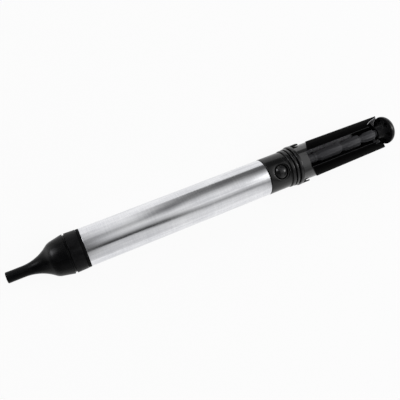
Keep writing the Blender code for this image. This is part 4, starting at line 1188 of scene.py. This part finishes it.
# Painted light: the inner walls at the trough's far end are painted pale where light comes in through
# the open end.
front_lean, back_lean = END_LIGHT_LEANS
from_end = x - guard_high.x
end_light_front = rising(from_end + height * front_lean, *END_LIGHT_FRONT)
end_light_back = 1.0 - rising(from_end + height * back_lean, *END_LIGHT_BACK)
end_light_patch = end_light_front * end_light_back * rising(y, *END_LIGHT_SIDE)
rim_light_spot = (guard_high.x + RIM_LIGHT_BACK, RIM_LIGHT_SIDE, axis_height - RIM_LIGHT_DROP)
spot = place.node("VectorMath", {"operation": "DISTANCE"}, {0: place, 1: rim_light_spot}, output="Value")
painted_end_light = end_light_patch + (1.0 - rising(spot, *RIM_LIGHT_SPREAD))
# Painted highlight: the window's cut edges are painted grey, as if catching light.
across_window = y * math.cos(WINDOW_TURN) - height * math.sin(WINDOW_TURN)
window_edge = 1.0 - rising(abs(abs(across_window) - WINDOW_HALF), EDGE_HIGHLIGHT_WIDTH / 2, EDGE_HIGHLIGHT_WIDTH)
painted_edge_highlight = window_edge * rising(height, 0.0, EDGE_HIGHLIGHT_RISE) * (1.0 - neck)
outer = blend_colours(neck, blend_colours(rub, GUARD_SHADE, GUARD_RUB), NECK_SHADE)
outer = blend_colours(painted_edge_highlight, outer, EDGE_HIGHLIGHT_GREY)
# The trough's colour holds its painted lit strip and the painted light at its far end.
trough = blend_colours(painted_end_light, blend_colours(painted_lit_strip, TROUGH_SHADE, TROUGH_LIT_STRIP), TROUGH_END_LIGHT)
shaded(
    paint,
    Base_Color=blend_colours(inside, outer, trough),
    Roughness=GUARD_ROUGHNESS + rub * GUARD_DULLING - neck * NECK_SMOOTHING,
    Specular_IOR_Level=GUARD_SPECULAR,
    Coat_Weight=neck,
    Coat_IOR=NECK_POLISH_IOR,
    Coat_Roughness=NECK_POLISH_ROUGHNESS,
    Normal=relief(sparks * (1.0 - neck), GUARD_RELIEF, strength=0.7),
)
dress(guard, matte_guard, "pump_body", "matte_black", "guard")


# The plunger's rod: one dark grey moulding. Its round shank runs in the barrel, three
# octagonal grips follow, and a tooth under the first is what the latch plate catches.
SHANK_RADIUS = 0.00245
COLLAR_RADIUS = 0.00265
COLLAR_LENGTH = 0.0013
GRIP_FLATS = 0.0059
GRIP_LENGTH = 0.01445
GRIP_TAPER = 0.0029
WAIST_DEPTH = 0.00095
NOTCH_FRONT = 0.0017
NOTCH_BACK = 0.0042
MIDDLE_FLATS = 0.0060
MIDDLE_LENGTH = 0.0079
MIDDLE_EDGE = 0.0005
END_FLATS = 0.0053
END_TAPER = 0.0042
END_LENGTH = 0.0093
END_NECK = 0.0033
STUD_RADIUS = 0.0021
FLATS = 8
SHANK_SIDES = 64
RELIEF_HEIGHT = 0.0021
TOOTH_LENGTH = 0.0013
TOOTH_RAMP = 0.0014
ROD_EDGE = 0.0003
ROD_CORNER = 0.00022
SHANK_EDGE = 0.0002
ROD_SMOOTH = math.radians(30)
ROD_SHADE = (0.085, 0.085, 0.091, 1.0)
ROD_RUB = (0.135, 0.135, 0.142, 1.0)
ROD_SPARKS = (1900.0, 1900.0, 1900.0)
ROD_SLIDING = (40.0, 900.0, 900.0)
ROD_RUBBED = (0.42, 0.70)
ROD_ROUGHNESS = 0.40
ROD_DULLING = 0.14
ROD_SPECULAR = 0.08
ROD_RELIEF = 0.00002


def corner_radius(flats):
    """Corner radius of an octagon from its width across flats."""
    return flats / 2 / math.cos(math.pi / FLATS)


rod_low, rod_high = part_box("plunger_rod")
notch_x = button_x + stroke
grip_end = notch_x - NOTCH_FRONT
grip_start = grip_end - GRIP_LENGTH
middle_start = notch_x + NOTCH_BACK
middle_end = middle_start + MIDDLE_LENGTH
end_start = middle_end + SEAT_GAP
stud_start = end_start + END_LENGTH
buried = grip_start - COLLAR_LENGTH / 2
rod = spun("plunger_rod_moulding", eased([
    (buried, 0.0),
    (buried, SHANK_RADIUS - SEAT_GAP),
    (grip_start, SHANK_RADIUS - SEAT_GAP),
    (grip_start + GRIP_TAPER, corner_radius(GRIP_FLATS)),
    (grip_end, corner_radius(GRIP_FLATS)),
    (notch_x, corner_radius(GRIP_FLATS) - WAIST_DEPTH),
    (middle_start, corner_radius(MIDDLE_FLATS)),
    (middle_end - 2 * MIDDLE_EDGE, corner_radius(MIDDLE_FLATS)),
    (middle_end, corner_radius(MIDDLE_FLATS) - MIDDLE_EDGE),
    (middle_end, corner_radius(END_NECK)),
    (end_start, corner_radius(END_NECK)),
    (end_start + END_TAPER, corner_radius(END_FLATS)),
    (stud_start, corner_radius(END_FLATS)),
    (stud_start, STUD_RADIUS),
    (rod_high.x, STUD_RADIUS),
    (rod_high.x, 0.0),
], ROD_EDGE), FLATS, math.pi / FLATS)
rounded(rod, ROD_CORNER, angle=ROD_SMOOTH)
shank = spun("rod_shank", eased([
    (rod_low.x, 0.0),
    (rod_low.x, SHANK_RADIUS),
    (grip_start - COLLAR_LENGTH, SHANK_RADIUS),
    (grip_start - COLLAR_LENGTH, COLLAR_RADIUS),
    (grip_start, COLLAR_RADIUS),
    (grip_start, 0.0),
], SHANK_EDGE), SHANK_SIDES)
cut(rod, shank, "UNION")
piston_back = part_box("piston")[1].x
tooth_back = notch_x - PLATE_THICKNESS / 2 - SEAT_GAP
cut(rod, block(
    "rod_relief",
    (piston_back + SEAT_GAP, -PASSAGE_RADIUS, axis_height - PASSAGE_RADIUS),
    (tooth_back - TOOTH_LENGTH, PASSAGE_RADIUS, axis_height - RELIEF_HEIGHT),
))
tooth_front = tooth_back - TOOTH_LENGTH - TOOTH_RAMP
tooth = block(
    "rod_tooth",
    (tooth_front, -TOOTH_WIDTH / 2, axis_height - TOOTH_HEIGHT),
    (tooth_back, TOOTH_WIDTH / 2, axis_height),
)
ramp_block = block(
    "tooth_ramp",
    (tooth_front - reach, -TOOTH_WIDTH, axis_height - RELIEF_HEIGHT - reach),
    (tooth_front, TOOTH_WIDTH, axis_height - RELIEF_HEIGHT),
)
ramp_foot = Vector((tooth_front, 0.0, axis_height - RELIEF_HEIGHT))
ramp_slope = math.atan2(TOOTH_HEIGHT - RELIEF_HEIGHT, TOOTH_RAMP)
cut(tooth, tipped(ramp_block, ramp_foot, ramp_slope - math.pi / 2))
cut(rod, tooth, "UNION")
choose(rod)
bpy.ops.object.shade_smooth_by_angle(angle=ROD_SMOOTH)

satin_rod, paint, place = new_surface("satin_grey_rod")
sparks = noise(place, ROD_SPARKS, roughness=0.6)
sliding = noise(place, ROD_SLIDING, detail=4.0, roughness=0.65)
rub = rising(sliding, *ROD_RUBBED)
shaded(
    paint,
    Base_Color=blend_colours(rub, ROD_SHADE, ROD_RUB),
    Roughness=ROD_ROUGHNESS + rub * ROD_DULLING,
    Specular_IOR_Level=ROD_SPECULAR,
    Normal=relief(sparks * 0.6 + sliding * 0.4, ROD_RELIEF, strength=0.6),
)
dress(rod, satin_rod, "plunger", "grey_plastic", "plunger_rod")


# The knob: a black moulding pushed over the rod's stud. A short hub flares into the
# thin domed head, and round core holes in the flare keep its wall even.
KNOB_RADIUS = 0.00775
KNOB_DOME = 0.0046
KNOB_RIM = 0.0004
KNOB_FLARE = 0.0030
KNOB_EDGE = 0.0003
KNOB_FINE_EDGE = 0.00008
KNOB_FLARE_STEPS = 12
KNOB_DOME_STEPS = 24
HUB_RADIUS = 0.0035
HUB_LENGTH = 0.0025
KNOB_SOCKET_DEPTH = 0.0060
POCKET_RADIUS = 0.0013
POCKET_CIRCLE = 0.0053
POCKET_DEPTH = 0.0010
POCKETS = 6
POCKET_SIDES = 32
KNOB_SHADE = (0.010, 0.010, 0.0106, 1.0)
KNOB_RUB = (0.022, 0.022, 0.023, 1.0)
KNOB_FINE = (1300.0, 1300.0, 1300.0)
KNOB_CLOUDS = (220.0, 220.0, 220.0)
KNOB_RUBBED = (0.40, 0.68)
KNOB_ROUGHNESS = 0.40
KNOB_DULLING = 0.16
KNOB_SPECULAR = 0.10
KNOB_POLISH = 0.4
KNOB_POLISH_ROUGHNESS = 0.22
KNOB_RELIEF = 0.00001

knob_low, knob_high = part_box("knob")
flare_front = knob_low.x + HUB_LENGTH
head_start = flare_front + KNOB_FLARE
dome_start = head_start + KNOB_RIM
flare_rise = KNOB_RADIUS - HUB_RADIUS
socket_end = knob_low.x + KNOB_SOCKET_DEPTH
flare_outline = []
for step in range(KNOB_FLARE_STEPS + 1):
    angle = math.pi / 2 * step / KNOB_FLARE_STEPS
    flare_x = flare_front + KNOB_FLARE * math.sin(angle)
    flare_outline.append((flare_x, HUB_RADIUS + flare_rise * (1 - math.cos(angle))))
dome_outline = []
for step in range(KNOB_DOME_STEPS):
    angle = math.pi / 2 * step / KNOB_DOME_STEPS
    dome_outline.append((dome_start + KNOB_DOME * math.sin(angle), KNOB_RADIUS * math.cos(angle)))
knob = spun("knob_moulding", eased([
    (socket_end, 0.0),
    (socket_end, STUD_RADIUS + SEAT_GAP),
    (knob_low.x, STUD_RADIUS + SEAT_GAP),
    (knob_low.x, HUB_RADIUS),
    *flare_outline,
    *dome_outline,
    (knob_high.x, 0.0),
], KNOB_EDGE))
pocket_end = head_start + POCKET_DEPTH
for i in range(POCKETS):
    angle = 2 * math.pi * (i + 0.5) / POCKETS
    pocket_y = POCKET_CIRCLE * math.sin(angle)
    pocket_z = axis_height + POCKET_CIRCLE * math.cos(angle)
    mouth = (knob_low.x, pocket_y, pocket_z)
    floor = (pocket_end, pocket_y, pocket_z)
    cut(knob, peg("knob_pocket", mouth, floor, POCKET_RADIUS, POCKET_SIDES))
rounded(knob, KNOB_FINE_EDGE)

glossy_knob, paint, place = new_surface("glossy_black_knob")
x, y, z = split(place)
fine = noise(place, KNOB_FINE, roughness=0.6)
clouds = noise(place, KNOB_CLOUDS, detail=4.0, roughness=0.6)
rub = rising(clouds, *KNOB_RUBBED) * rising(x, head_start, knob_high.x)
shaded(
    paint,
    Base_Color=blend_colours(rub, KNOB_SHADE, KNOB_RUB),
    Roughness=KNOB_ROUGHNESS + rub * KNOB_DULLING,
    Specular_IOR_Level=KNOB_SPECULAR,
    Coat_Weight=rising(x, head_start - KNOB_EDGE, dome_start) * KNOB_POLISH,
    Coat_Roughness=KNOB_POLISH_ROUGHNESS,
    Normal=relief(fine, KNOB_RELIEF, strength=0.6),
)
dress(knob, glossy_knob, "plunger", "gloss_black", "knob")
